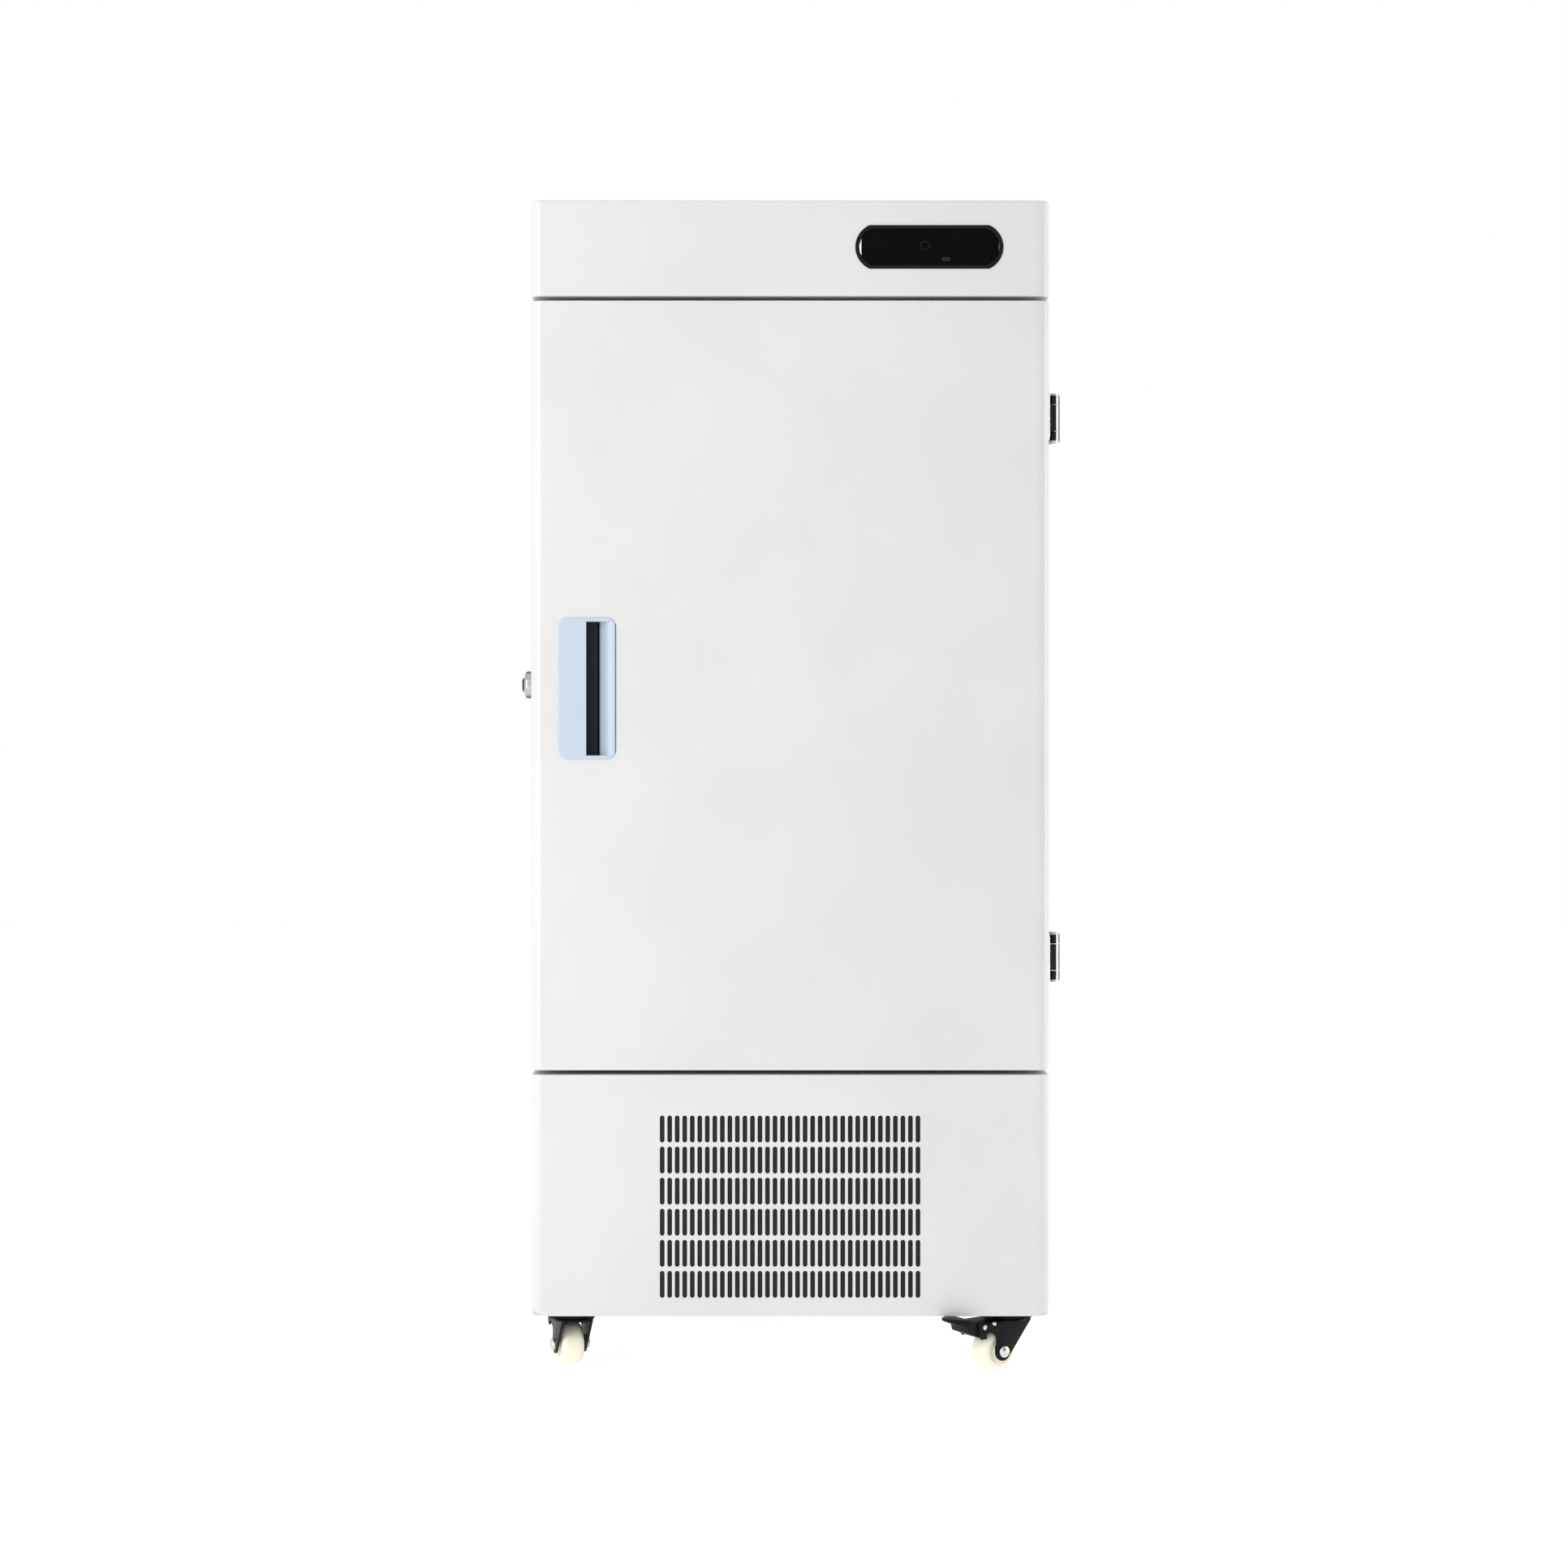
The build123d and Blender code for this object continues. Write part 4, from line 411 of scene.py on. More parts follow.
@dataclass(frozen=True)
class Rubber(Finish):
    """Extruded rubber with a matt bloom and fine lengthwise lines."""

    roughness: float = 0.72

    def make(self) -> bpy.types.Material:
        """Builds the rubber.

        Returns:
            The material.
        """
        graph = Graph(self.name)
        bloom = graph.noise(24.0, 4.0)
        grain = graph.noise(0.9, 3.0)
        tint = graph.blend(shade(self.colour, 0.85), shade(self.colour, 1.2), bloom.step(0.35, 0.75))
        return graph.finish(
            base_color=tint,
            roughness=bloom * 0.14 + (self.roughness - 0.07),
            normal=graph.relief(grain, 0.05),
        )


@dataclass(frozen=True)
class Metal(Finish):
    """Bare metal with a brushed or rolled grain and light handling marks."""

    roughness: float = 0.3
    grain: Grain = Grain.ALONG_X
    grain_depth: float = 0.01
    marks: float = 0.08

    def make(self) -> bpy.types.Material:
        """Builds the metal.

        Returns:
            The material.
        """
        graph = Graph(self.name)
        lines = graph.noise(0.6, 3.0, self.grain.value)
        smear = graph.noise(45.0, 4.0)
        tint = graph.blend(shade(self.colour, 0.9), shade(self.colour, 1.06), lines)
        return graph.finish(
            base_color=tint,
            metallic=1.0,
            roughness=lines * 0.08 + smear * self.marks + (self.roughness - 0.08),
            normal=graph.relief(lines, self.grain_depth),
        )


@dataclass(frozen=True)
class Plated(Finish):
    """Plated metal: smooth, with a faint unevenness under the plating."""

    roughness: float = 0.12
    wave: float = 9.0
    wave_depth: float = 0.015

    def tint(self, graph: Graph) -> bpy.types.NodeSocket:
        """The plating's colour, with a faint haze."""
        return graph.blend(shade(self.colour, 0.93), shade(self.colour, 1.04), graph.noise(3.0, 4.0))

    def share(self, graph: Graph) -> Reading | float:
        """How metallic the plating reads."""
        return 1.0

    def make(self) -> bpy.types.Material:
        """Builds the plating.

        Returns:
            The material.
        """
        graph = Graph(self.name)
        wave = graph.noise(self.wave, 2.0)
        haze = graph.noise(3.0, 4.0)
        return graph.finish(
            base_color=self.tint(graph),
            metallic=self.share(graph),
            roughness=haze.step(0.4, 0.8) * 0.08 + self.roughness,
            normal=graph.relief(wave, self.wave_depth),
        )


@dataclass(frozen=True)
class Turned(Plated):
    """Plating on a round piece with a painted reflection of the dark side of the room, darkening its colour
    toward the rim.
    """

    middle: float = LOCK_LEVEL
    rim: Point2 = (11.0, 15.5)
    # Painted reflection: the dark colour that the plating turns to toward the rim.
    dark: Colour = (0.05, 0.048, 0.045)

    def tint(self, graph: Graph) -> bpy.types.NodeSocket:
        """The plating's colour, with a painted dark reflection toward the rim."""
        off = (graph.axes()[2] - self.middle).size()
        return graph.blend(self.colour, self.dark, off.step(*self.rim))


@dataclass(frozen=True)
class Barrel(Plated):
    """Hinge plating with painted reflections on its front: the dark and bright bands that a polished barrel
    would mirror there.
    """

    levels: Point2 = HINGE_LEVELS
    web: Point2 = (303.4, 304.2)
    bright: Point2 = (313.2, 314.4)
    outer: Point2 = (316.2, 317.0)
    front: Point2 = (-257.0, -255.0)
    ends: Point2 = (26.0, 27.6)
    # Painted reflections: dark on the band between leaf and barrel, pale on the lug ends, dark grey on the
    # outer edge.
    dark: Colour = (0.022, 0.02, 0.019)
    grey: Colour = (0.03, 0.0288, 0.0276)
    pale: Colour = (0.5, 0.49, 0.46)

    def tint(self, graph: Graph) -> bpy.types.NodeSocket:
        """The plating's colour with its painted reflection bands."""
        across, back, upward = graph.axes()
        off = [(upward - level).size() for level in self.levels]
        front = 1.0 - back.step(*self.front)
        inner = across.step(*self.web) * (1.0 - across.step(*self.bright)) * front
        # Paints the reflection bands: pale lug ends within the dark band, then the dark grey outer edge.
        capped_reflection = graph.blend(self.dark, self.pale, off[0].lesser(off[1]).step(*self.ends))
        banded_reflection = graph.blend(self.colour, capped_reflection, inner)
        return graph.blend(banded_reflection, self.grey, across.step(*self.outer) * front)

    def share(self, graph: Graph) -> Reading:
        """How metallic the plating reads: not at all on the bright strip and its painted dark edge."""
        across, back, _ = graph.axes()
        return 1.0 - across.step(*self.bright) * (1.0 - back.step(*self.front))


@dataclass(frozen=True)
class Galvanised(Finish):
    """Hot-dip zinc sheet with a spangle."""

    spangle: float = 11.0

    def make(self) -> bpy.types.Material:
        """Builds the zinc.

        Returns:
            The material.
        """
        graph = Graph(self.name)
        crystals = graph.cells(self.spangle)
        tone = graph.value("ShaderNodeSeparateColor", {}, {0: crystals.outputs["Color"]})
        stain = graph.noise(70.0, 4.0)
        tint = graph.blend(shade(self.colour, 0.82), shade(self.colour, 1.08), tone * 0.8 + stain * 0.2)
        return graph.finish(
            base_color=tint,
            metallic=0.85,
            roughness=tone * 0.16 + stain * 0.08 + 0.3,
            normal=graph.relief(tone, 0.01),
        )


@dataclass(frozen=True)
class Foam(Finish):
    """Rigid foam with a fine cell structure."""

    cell: float = 1.4

    def make(self) -> bpy.types.Material:
        """Builds the foam.

        Returns:
            The material.
        """
        graph = Graph(self.name)
        pore = Reading(graph, graph.cells(self.cell).outputs["Distance"])
        flow = graph.noise(90.0, 3.0)
        tint = graph.blend(shade(self.colour, 0.82), shade(self.colour, 1.05), pore.step(0.05, 0.6))
        return graph.finish(
            base_color=tint,
            roughness=flow * 0.1 + 0.85,
            normal=graph.relief(pore, 0.25),
        )


@dataclass(frozen=True)
class Fins(Finish):
    """Aluminium fin pack: thin lines with painted shade in the gaps between the fins, dusty towards the
    front.
    """

    pitch: float = 1.8

    def make(self) -> bpy.types.Material:
        """Builds the fin pack.

        Returns:
            The material.
        """
        graph = Graph(self.name)
        edge = (graph.axes()[0] * (math.pi / self.pitch)).sine().size()
        dust = graph.noise(25.0, 4.0).step(0.4, 0.8)
        # Painted shade: the colour darkens to a third in the gaps between the fin edges.
        tint = graph.blend(shade(self.colour, 0.3), self.colour, edge.step(0.2, 0.7))
        worn = graph.blend(tint, (0.3, 0.29, 0.27), dust * 0.5)
        return graph.finish(
            base_color=worn,
            metallic=0.7,
            roughness=dust * 0.3 + 0.38,
            normal=graph.relief(edge, 0.5),
        )


@dataclass(frozen=True)
class Board(Finish):
    """Circuit board: solder mask over tracks, with plated holes."""

    def make(self) -> bpy.types.Material:
        """Builds the board.

        Returns:
            The material.
        """
        graph = Graph(self.name)
        tracks = graph.noise(4.0, 0.0, (0.25, 1.0, 1.0)).step(0.5, 0.56)
        holes = 1.0 - Reading(graph, graph.cells(9.0).outputs["Distance"]).step(0.08, 0.14)
        masked = graph.blend(shade(self.colour, 0.7), self.colour, tracks)
        return graph.finish(
            base_color=graph.blend(masked, (0.55, 0.55, 0.5), holes),
            metallic=holes * 0.8,
            roughness=0.35 - holes * 0.1,
            normal=graph.relief(tracks, 0.035),
        )


@dataclass(frozen=True)
class Mat(Finish):
    """Open filter mat of crossing fibres."""

    def make(self) -> bpy.types.Material:
        """Builds the mat.

        Returns:
            The material.
        """
        graph = Graph(self.name)
        warp = graph.noise(1.2, 3.0, (1.0, 1.0, 0.15))
        weft = graph.noise(1.2, 3.0, (0.15, 1.0, 1.0))
        fibre = warp.greater(weft)
        tint = graph.blend(shade(self.colour, 0.35), shade(self.colour, 1.25), fibre.step(0.45, 0.7))
        return graph.finish(base_color=tint, roughness=fibre * 0.1 + 0.82, normal=graph.relief(fibre, 0.6))


@dataclass(frozen=True)
class Pane(Finish):
    """Dark display pane: black print behind a clear face whose round ends carry painted highlights, light and
    metallic.
    """

    middle: Point2 = (DISPLAY_CENTRE[0], 1300.0)
    left_end: Point2 = (78.0, 79.0)
    right_end: Point2 = (79.9, 80.7)
    reach: Point2 = (9.0, 16.0)

    def make(self) -> bpy.types.Material:
        """Builds the pane.

        Returns:
            The material.
        """
        graph = Graph(self.name)
        haze = graph.noise(14.0, 4.0).step(0.45, 0.85)
        wave = graph.noise(30.0, 1.0)
        across, _, upward = graph.axes()
        # Painted highlight: a light, metallic patch on each round end that fades out above and below the
        # middle.
        highlight_fade = 1.0 - (upward - self.middle[1]).size().step(*self.reach)
        left = (self.middle[0] - across).step(*self.left_end)
        right = (across - self.middle[0]).step(*self.right_end)
        ends = (left + right * 0.6) * highlight_fade
        print_tint = graph.blend(self.colour, shade(self.colour, 1.6), haze)
        return graph.finish(
            base_color=graph.blend(print_tint, (0.8, 0.8, 0.82), ends),
            metallic=ends * 0.9,
            roughness=haze * 0.04 + 0.08,
            specular_IOR_level=0.02,
            normal=graph.relief(wave, 0.02),
        )


FINISHES: dict[str, Finish] = {
    finish.name: finish
    for finish in (
        Paint("cabinet_white", "white_paint", (0.63, 0.63, 0.63)),
        Paint("caster_black", "black_paint", (0.007, 0.007, 0.008), roughness=0.4, peel=0.9, specular=0.1),
        Galvanised("zinc_sheet", "galvanised_sheet", (0.62, 0.64, 0.65)),
        Metal("brushed_steel", "stainless_sheet", (0.68, 0.68, 0.67), roughness=0.27),
        Metal("shelf_steel", "stainless_sheet", (0.66, 0.66, 0.66), roughness=0.25, grain=Grain.ALONG_Y),
        Barrel("hinge_chrome", "bright_chrome", (0.86, 0.86, 0.86)),
        Turned("lock_face", "bright_chrome", (0.46, 0.455, 0.44), roughness=0.2, wave=4.0),
        Plated("lock_dark", "bright_chrome", (0.03, 0.03, 0.03), roughness=0.2, wave=4.0),
        Plated("zinc_plating", "zinc_steel", (0.66, 0.66, 0.63), roughness=0.24, wave=5.0),
        Foam("rigid_foam", "insulation_foam", (0.83, 0.76, 0.55)),
        Moulding("frame_grey", "grey_plastic", (0.56, 0.58, 0.6)),
        Recess(
            "handle_blue",
            "blue_plastic",
            (0.455, 0.535, 0.62),
            roughness=0.36,
            texture=0.8,
            texture_depth=0.008,
        ),
        Moulding("moulded_black", "black_plastic", (0.014, 0.014, 0.016), roughness=0.38),
        Moulding(
            "bezel_dark",
            "dark_plastic",
            (0.006, 0.006, 0.007),
            roughness=0.2,
            texture_depth=0.004,
            specular=0.12,
        ),
        Pane("display_pane", "dark_plastic", (0.003, 0.003, 0.0035)),
        Moulding(
            "display_mark",
            "grey_plastic",
            (0.018, 0.018, 0.0195),
            roughness=0.4,
            texture_depth=0.002,
            specular=0.1,
        ),
        Moulding(
            "wheel_ivory", "ivory_nylon", (0.86, 0.83, 0.68), roughness=0.4, texture=1.1, texture_depth=0.02
        ),
        Rubber("gasket_grey", "grey_rubber", (0.42, 0.43, 0.44)),
        Rubber("grommet_black", "black_rubber", (0.022, 0.022, 0.022)),
        Plated("copper_tube", "copper", (0.78, 0.4, 0.25), roughness=0.25, wave=3.0),
        Fins("fin_pack", "aluminium_fins", (0.66, 0.67, 0.68)),
        Board("board_green", "circuit_board", (0.03, 0.16, 0.07)),
        Mat("filter_fibre", "filter_mat", (0.012, 0.012, 0.013)),
    )
}
_made: dict[str, bpy.types.Material] = {}


def dress(name: str) -> bpy.types.Material:
    """The material of a finish, made once."""
    if name not in _made:
        _made[name] = FINISHES[name].make()
    return _made[name]


# Drawing


@dataclass(frozen=True)
class Stand:
    """A place to draw from: an origin and two directions, with the third one outwards."""

    origin: Vector
    right: Vector
    up: Vector

    @property
    def out(self) -> Vector:
        """The direction away from the surface."""
        return self.right.cross(self.up)

    def at(self, right: float, up: float, out: float = 0.0) -> Vector:
        """A point by its three distances."""
        return self.origin + self.right * right + self.up * up + self.out * out

    def moved(self, right: float, up: float) -> "Stand":
        """The same stand with its origin moved along its face."""
        return Stand(self.at(right, up), self.right, self.up)


def front_stand(x: float, y: float, z: float) -> Stand:
    """Stand on an upright face that looks to the front."""
    return Stand(Vector((x, y, z)), Vector((1, 0, 0)), Vector((0, 0, 1)))


def right_stand(x: float, y: float, z: float) -> Stand:
    """Stand on an upright face that looks to the right."""
    return Stand(Vector((x, y, z)), Vector((0, 1, 0)), Vector((0, 0, 1)))


def left_stand(x: float, y: float, z: float) -> Stand:
    """Stand on an upright face that looks to the left."""
    return Stand(Vector((x, y, z)), Vector((0, -1, 0)), Vector((0, 0, 1)))


def level_stand(x: float = 0.0, y: float = 0.0, z: float = 0.0) -> Stand:
    """Stand on a level face that looks up."""
    return Stand(Vector((x, y, z)), Vector((1, 0, 0)), Vector((0, 1, 0)))


def arc(centre: Point2, radius: float, start: float, end: float, steps: int) -> list[Point2]:
    """Points on an arc, both ends included.

    Args:
        centre: Its centre.
        radius: Its radius.
        start: First angle in degrees.
        end: Last angle in degrees.
        steps: Number of segments.

    Returns:
        The points.
    """
    angles = [math.radians(start + (end - start) * step / steps) for step in range(steps + 1)]
    return [(centre[0] + radius * math.cos(a), centre[1] + radius * math.sin(a)) for a in angles]


def rounded_rectangle(width: float, height: float, radius: float, steps: int = 8) -> list[Point2]:
    """Outline of a rounded rectangle, turning left.

    Args:
        width: Its width.
        height: Its height.
        radius: Its corner radius.
        steps: Segments in each corner.

    Returns:
        The outline.
    """
    x, y = width / 2 - radius, height / 2 - radius
    corners = ((x, y, 0), (-x, y, 90), (-x, -y, 180), (x, -y, 270))
    return [point for cx, cy, turn in corners for point in arc((cx, cy), radius, turn, turn + 90, steps)]


def hexagon(radius: float) -> list[Point2]:
    """Outline of a hexagon."""
    return arc((0, 0), radius, 0, 300, 5)


class Shell:
    """A mesh under construction, in millimetres."""

    def __init__(self) -> None:
        """Starts empty."""
        self.mesh = bmesh.new()

    def ring(self, points: Iterable[Vector]) -> list[bmesh.types.BMVert]:
        """Adds a row of vertices."""
        return [self.mesh.verts.new(point) for point in points]

    def face(self, verts: Loop) -> None:
        """Adds one face, and leaves out corners that coincide."""
        kept = [vert for place, vert in enumerate(verts) if (vert.co - verts[place - 1].co).length > 1e-5]
        if len(kept) > 2:
            self.mesh.faces.new(kept)

    def skin(self, rings: Sequence[Loop]) -> None:
        """Spans quads between closed rows of equal length.

        Args:
            rings: The rows, each turning left when seen from the side towards which the rows run.
        """
        for low, high in zip(rings, rings[1:]):
            for place in range(len(low)):
                after = (place + 1) % len(low)
                self.face((low[place], low[after], high[after], high[place]))

    def fill(self, *loops: Loop) -> None:
        """Fills the flat ground between closed loops.

        Args:
            loops: The outer loop, then the openings in it.
        """
        edges = []
        for verts in loops:
            for one, two in zip(verts, [*verts[1:], verts[0]]):
                edges.append(self.mesh.edges.get((one, two)) or self.mesh.edges.new((one, two)))
        bmesh.ops.triangle_fill(self.mesh, use_beauty=True, edges=edges)

    def loft(
        self,
        outlines: Sequence[Sequence[Vector]],
        start_cap: bool = False,
        end_cap: bool = False,
    ) -> list[list[bmesh.types.BMVert]]:
        """Joins closed outlines into a tube.

        Args:
            outlines: Rows of points of equal length.
            start_cap: Whether the first one is closed.
            end_cap: Whether the last one is closed.

        Returns:
            The rows of vertices.
        """
        rings = [self.ring(points) for points in outlines]
        self.skin(rings)
        if start_cap:
            self.face(list(reversed(rings[0])))
        if end_cap:
            self.face(rings[-1])
        return rings

    def lathe(self, stand: Stand, profile: Sequence[Point2], steps: int = 48) -> None:
        """Turns a profile about the outward direction of a stand.

        Args:
            stand: Its origin lies on the axis.
            profile: Points as (radius, height), bottom first on the outside.
            steps: Segments round the axis.
        """
        angles = [math.tau * step / steps for step in range(steps)]
        circle = [(math.cos(angle), math.sin(angle)) for angle in angles]
        rings = []
        for radius, height in profile:
            reach = max(radius, 1e-4)
            rings.append(self.ring(stand.at(reach * x, reach * y, height) for x, y in circle))
        self.skin(rings)
        for ring, (radius, height) in ((rings[0], profile[0]), (rings[-1], profile[-1])):
            if radius < 1e-3:
                bmesh.ops.pointmerge(self.mesh, verts=ring, merge_co=stand.at(0, 0, height))

    def prism(self, stand: Stand, outline: Sequence[Point2], low: float, high: float) -> None:
        """Raises a flat outline that turns left from one height to another."""
        rows = [[stand.at(x, y, height) for x, y in outline] for height in (low, high)]
        self.loft(rows, True, True)

    def plate(
        self,
        stand: Stand,
        outline: Callable[[float], list[Point2]],
        thickness: float,
        ease: float,
    ) -> None:
        """Raises a plate whose upper edge is rounded.

        Args:
            stand: Its origin lies on the plate's underside.
            outline: Gives the outline at a margin.
            thickness: The plate's thickness.
            ease: Radius of the upper edge.
        """
        rows = [[stand.at(x, y, 0) for x, y in outline(0.0)]]
        for across, up in arc((-ease, thickness - ease), ease, 0, 90, 4):
            rows.append([stand.at(x, y, up) for x, y in outline(across)])
        rows.append([stand.at(x, y, thickness) for x, y in outline(-ease - 0.4)])
        self.loft(rows, True, True)

    def finish(self, weld: float = 1e-4) -> bpy.types.Mesh:
        """Welds doubles, turns the faces outwards and gives the mesh."""
        bmesh.ops.remove_doubles(self.mesh, verts=self.mesh.verts[:], dist=weld)
        bmesh.ops.recalc_face_normals(self.mesh, faces=self.mesh.faces[:])
        data = bpy.data.meshes.new("drawn")
        self.mesh.to_mesh(data)
        self.mesh.free()
        return data


def evaluated(thing: bpy.types.Object) -> bpy.types.Mesh:
    """Bakes an object's modifiers into a plain mesh and removes the object."""
    bpy.context.view_layer.update()
    graph = bpy.context.evaluated_depsgraph_get()
    data = bpy.data.meshes.new_from_object(thing.evaluated_get(graph))
    bpy.data.objects.remove(thing)
    return data


def worked(data: bpy.types.Mesh, steps: Sequence[tuple[str, dict[str, Any]]]) -> bpy.types.Mesh:
    """Runs modifiers over a mesh.

    Args:
        data: The mesh.
        steps: Each modifier's type and settings, in order.

    Returns:
        The plain result.
    """
    thing = bpy.data.objects.new("work", data)
    bpy.context.scene.collection.objects.link(thing)
    for kind, settings in steps:
        modifier = thing.modifiers.new(kind, kind)
        for key, setting in settings.items():
            setattr(modifier, key, setting)
    return evaluated(thing)


def folded(thickness: float) -> tuple[str, dict[str, Any]]:
    """Modifier that gives a surface its sheet thickness on the inner side."""
    return "SOLIDIFY", {"thickness": thickness, "offset": -1.0, "use_even_offset": True, "use_rim": True}


def eased(width: float, segments: int = 2, angle: float = 35.0) -> tuple[str, dict[str, Any]]:
    """Modifier that rounds sharp edges."""
    settings = {
        "width": width,
        "segments": segments,
        "limit_method": "ANGLE",
        "angle_limit": math.radians(angle),
        "use_clamp_overlap": True,
        "harden_normals": False,
    }
    return "BEVEL", settings


@dataclass
class Delivery:
    """Hands finished meshes over to the frame."""

    count: int = 0

    def hand(
        self,
        name: str,
        data: bpy.types.Mesh,
        finish: str,
        body: str,
        replaces: Sequence[str] = (),
        sharp: float = 32.0,
    ) -> None:
        """Puts one piece on its body.

        Args:
            name: The piece's name.
            data: Its mesh in millimetres, in the frame's axes.
            finish: Name of its finish.
            body: The body that it rides on.
            replaces: The nodes that it stands for.
            sharp: Angle in degrees from which an edge stays sharp.
        """
        data.transform(Matrix.Scale(MM, 4))
        data.materials.clear()
        data.materials.append(dress(finish))
        for polygon in data.polygons:
            polygon.material_index = 0
        data.shade_smooth()
        data.set_sharp_from_angle(angle=math.radians(sharp))
        piece = bpy.data.objects.new(name, data)
        bpy.context.scene.collection.objects.link(piece)
        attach(piece, body)
        if replaces:
            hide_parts(*replaces)
        self.count += 1
        log.info("%s: %s on %s, %d faces", name, finish, body, len(data.polygons))


def node_copy(node: bpy.types.Object) -> bpy.types.Mesh:
    """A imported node's mesh in millimetres, with its loose triangles joined into whole faces.

    Args:
        node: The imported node.

    Returns:
        The merged copy.
    """
    work = bmesh.new()
    work.from_mesh(node.data)
    bmesh.ops.scale(work, vec=(1 / MM, 1 / MM, 1 / MM), verts=work.verts[:])
    bmesh.ops.remove_doubles(work, verts=work.verts[:], dist=1e-3)
    bmesh.ops.dissolve_limit(
        work,
        angle_limit=math.radians(FLAT_ANGLE),
        verts=work.verts[:],
        edges=work.edges[:],
        use_dissolve_boundaries=False,
    )
    data = bpy.data.meshes.new("copy")
    work.to_mesh(data)
    work.free()
    return data


# Repeats, made by geometry nodes


class Repeat(Wiring):
    """A geometry node tree with named inputs."""

    def __init__(self, name: str) -> None:
        """Starts a tree with one geometry output."""
        self.tree = bpy.data.node_groups.new(name, "GeometryNodeTree")
        self.tree.interface.new_socket("Geometry", in_out="OUTPUT", socket_type="NodeSocketGeometry")
        self.start = self.tree.nodes.new("NodeGroupInput")
        self.end = self.tree.nodes.new("NodeGroupOutput")
        self.keys: dict[str, str] = {}

    def size(self, name: str, kind: str = "NodeSocketFloat") -> bpy.types.NodeSocket:
        """Adds a named input and gives its socket."""
        item = self.tree.interface.new_socket(name, in_out="INPUT", socket_type=kind)
        self.keys[name] = item.identifier
        return self.start.outputs[name]

    def close(self, instances: bpy.types.NodeSocket, material: str, weld: float = 0.0) -> None:
        """Ends the tree with real geometry and its material.

        Args:
            instances: The instances to realise.
            material: Name of the finish.
            weld: Distance below which vertices are joined, or 0.
        """
        real = self.node("GeometryNodeRealizeInstances", {}, {0: instances}).outputs[0]
        if weld:
            values = {"Geometry": real, "Distance": weld}
            real = self.node("GeometryNodeMergeByDistance", {}, values).outputs[0]
        dressed = self.node("GeometryNodeSetMaterial", {}, {"Geometry": real, "Material": dress(material)})
        self.tree.links.new(dressed.outputs[0], self.end.inputs[0])

    def run(self, sizes: dict[str, Any], base: Optional[bpy.types.Mesh] = None) -> bpy.types.Mesh:
        """Evaluates the tree into a plain mesh.

        Args:
            sizes: Values of the named inputs.
            base: The mesh that the tree starts from, if it has one.

        Returns:
            The mesh.
        """
        thing = bpy.data.objects.new("repeat", base or bpy.data.meshes.new("empty"))
        bpy.context.scene.collection.objects.link(thing)
        modifier = thing.modifiers.new("repeat", "NODES")
        modifier.node_group = self.tree
        for name, value in sizes.items():
            modifier[self.keys[name]] = value
        return evaluated(thing)


class GridRepeat(Repeat):
    """Repeats a drawn tile over an upright grid."""

    def __init__(self, name: str, tile: bpy.types.Mesh, material: str, weld: float = 0.0) -> None:
        """Builds the tree.

        Args:
            name: Name of the tree.
            tile: The drawn tile, centred on its own origin.
            material: Name of the finish.
            weld: Distance below which neighbouring tiles are joined.
        """
        super().__init__(name)
        self.holder = bpy.data.objects.new(name + "_tile", tile)
        columns = self.size("Columns", "NodeSocketInt")
        rows = self.size("Rows", "NodeSocketInt")
        width = self.size("Width")
        height = self.size("Height")
        centre = self.size("Centre", "NodeSocketVector")
        grid = self.node(
            "GeometryNodeMeshGrid",
            {},
            {"Size X": width, "Size Y": height, "Vertices X": columns, "Vertices Y": rows},
        )
        upright = self.node(
            "GeometryNodeTransform",
            {},
            {"Geometry": grid.outputs["Mesh"], "Translation": centre, "Rotation": (math.pi / 2, 0, 0)},
        )
        one = self.node("GeometryNodeObjectInfo", {}, {"Object": self.holder})
        spread = self.node(
            "GeometryNodeInstanceOnPoints",
            {},
            {"Points": upright.outputs[0], "Instance": one.outputs["Geometry"]},
        )
        self.close(spread.outputs[0], material, weld)

    def spread(self, columns: int, rows: int, pitch: Point2, centre: Vector) -> bpy.types.Mesh:
        """Lays the tiles out.

        Args:
            columns: Tiles across.
            rows: Tiles up.
            pitch: Spacing across and up.
            centre: Middle of the grid.

        Returns:
            The mesh.
        """
        sizes = {
            "Columns": columns,
            "Rows": rows,
            "Width": (columns - 1) * pitch[0],
            "Height": (rows - 1) * pitch[1],
            "Centre": tuple(centre),
        }
        result = self.run(sizes)
        bpy.data.objects.remove(self.holder)
        return result


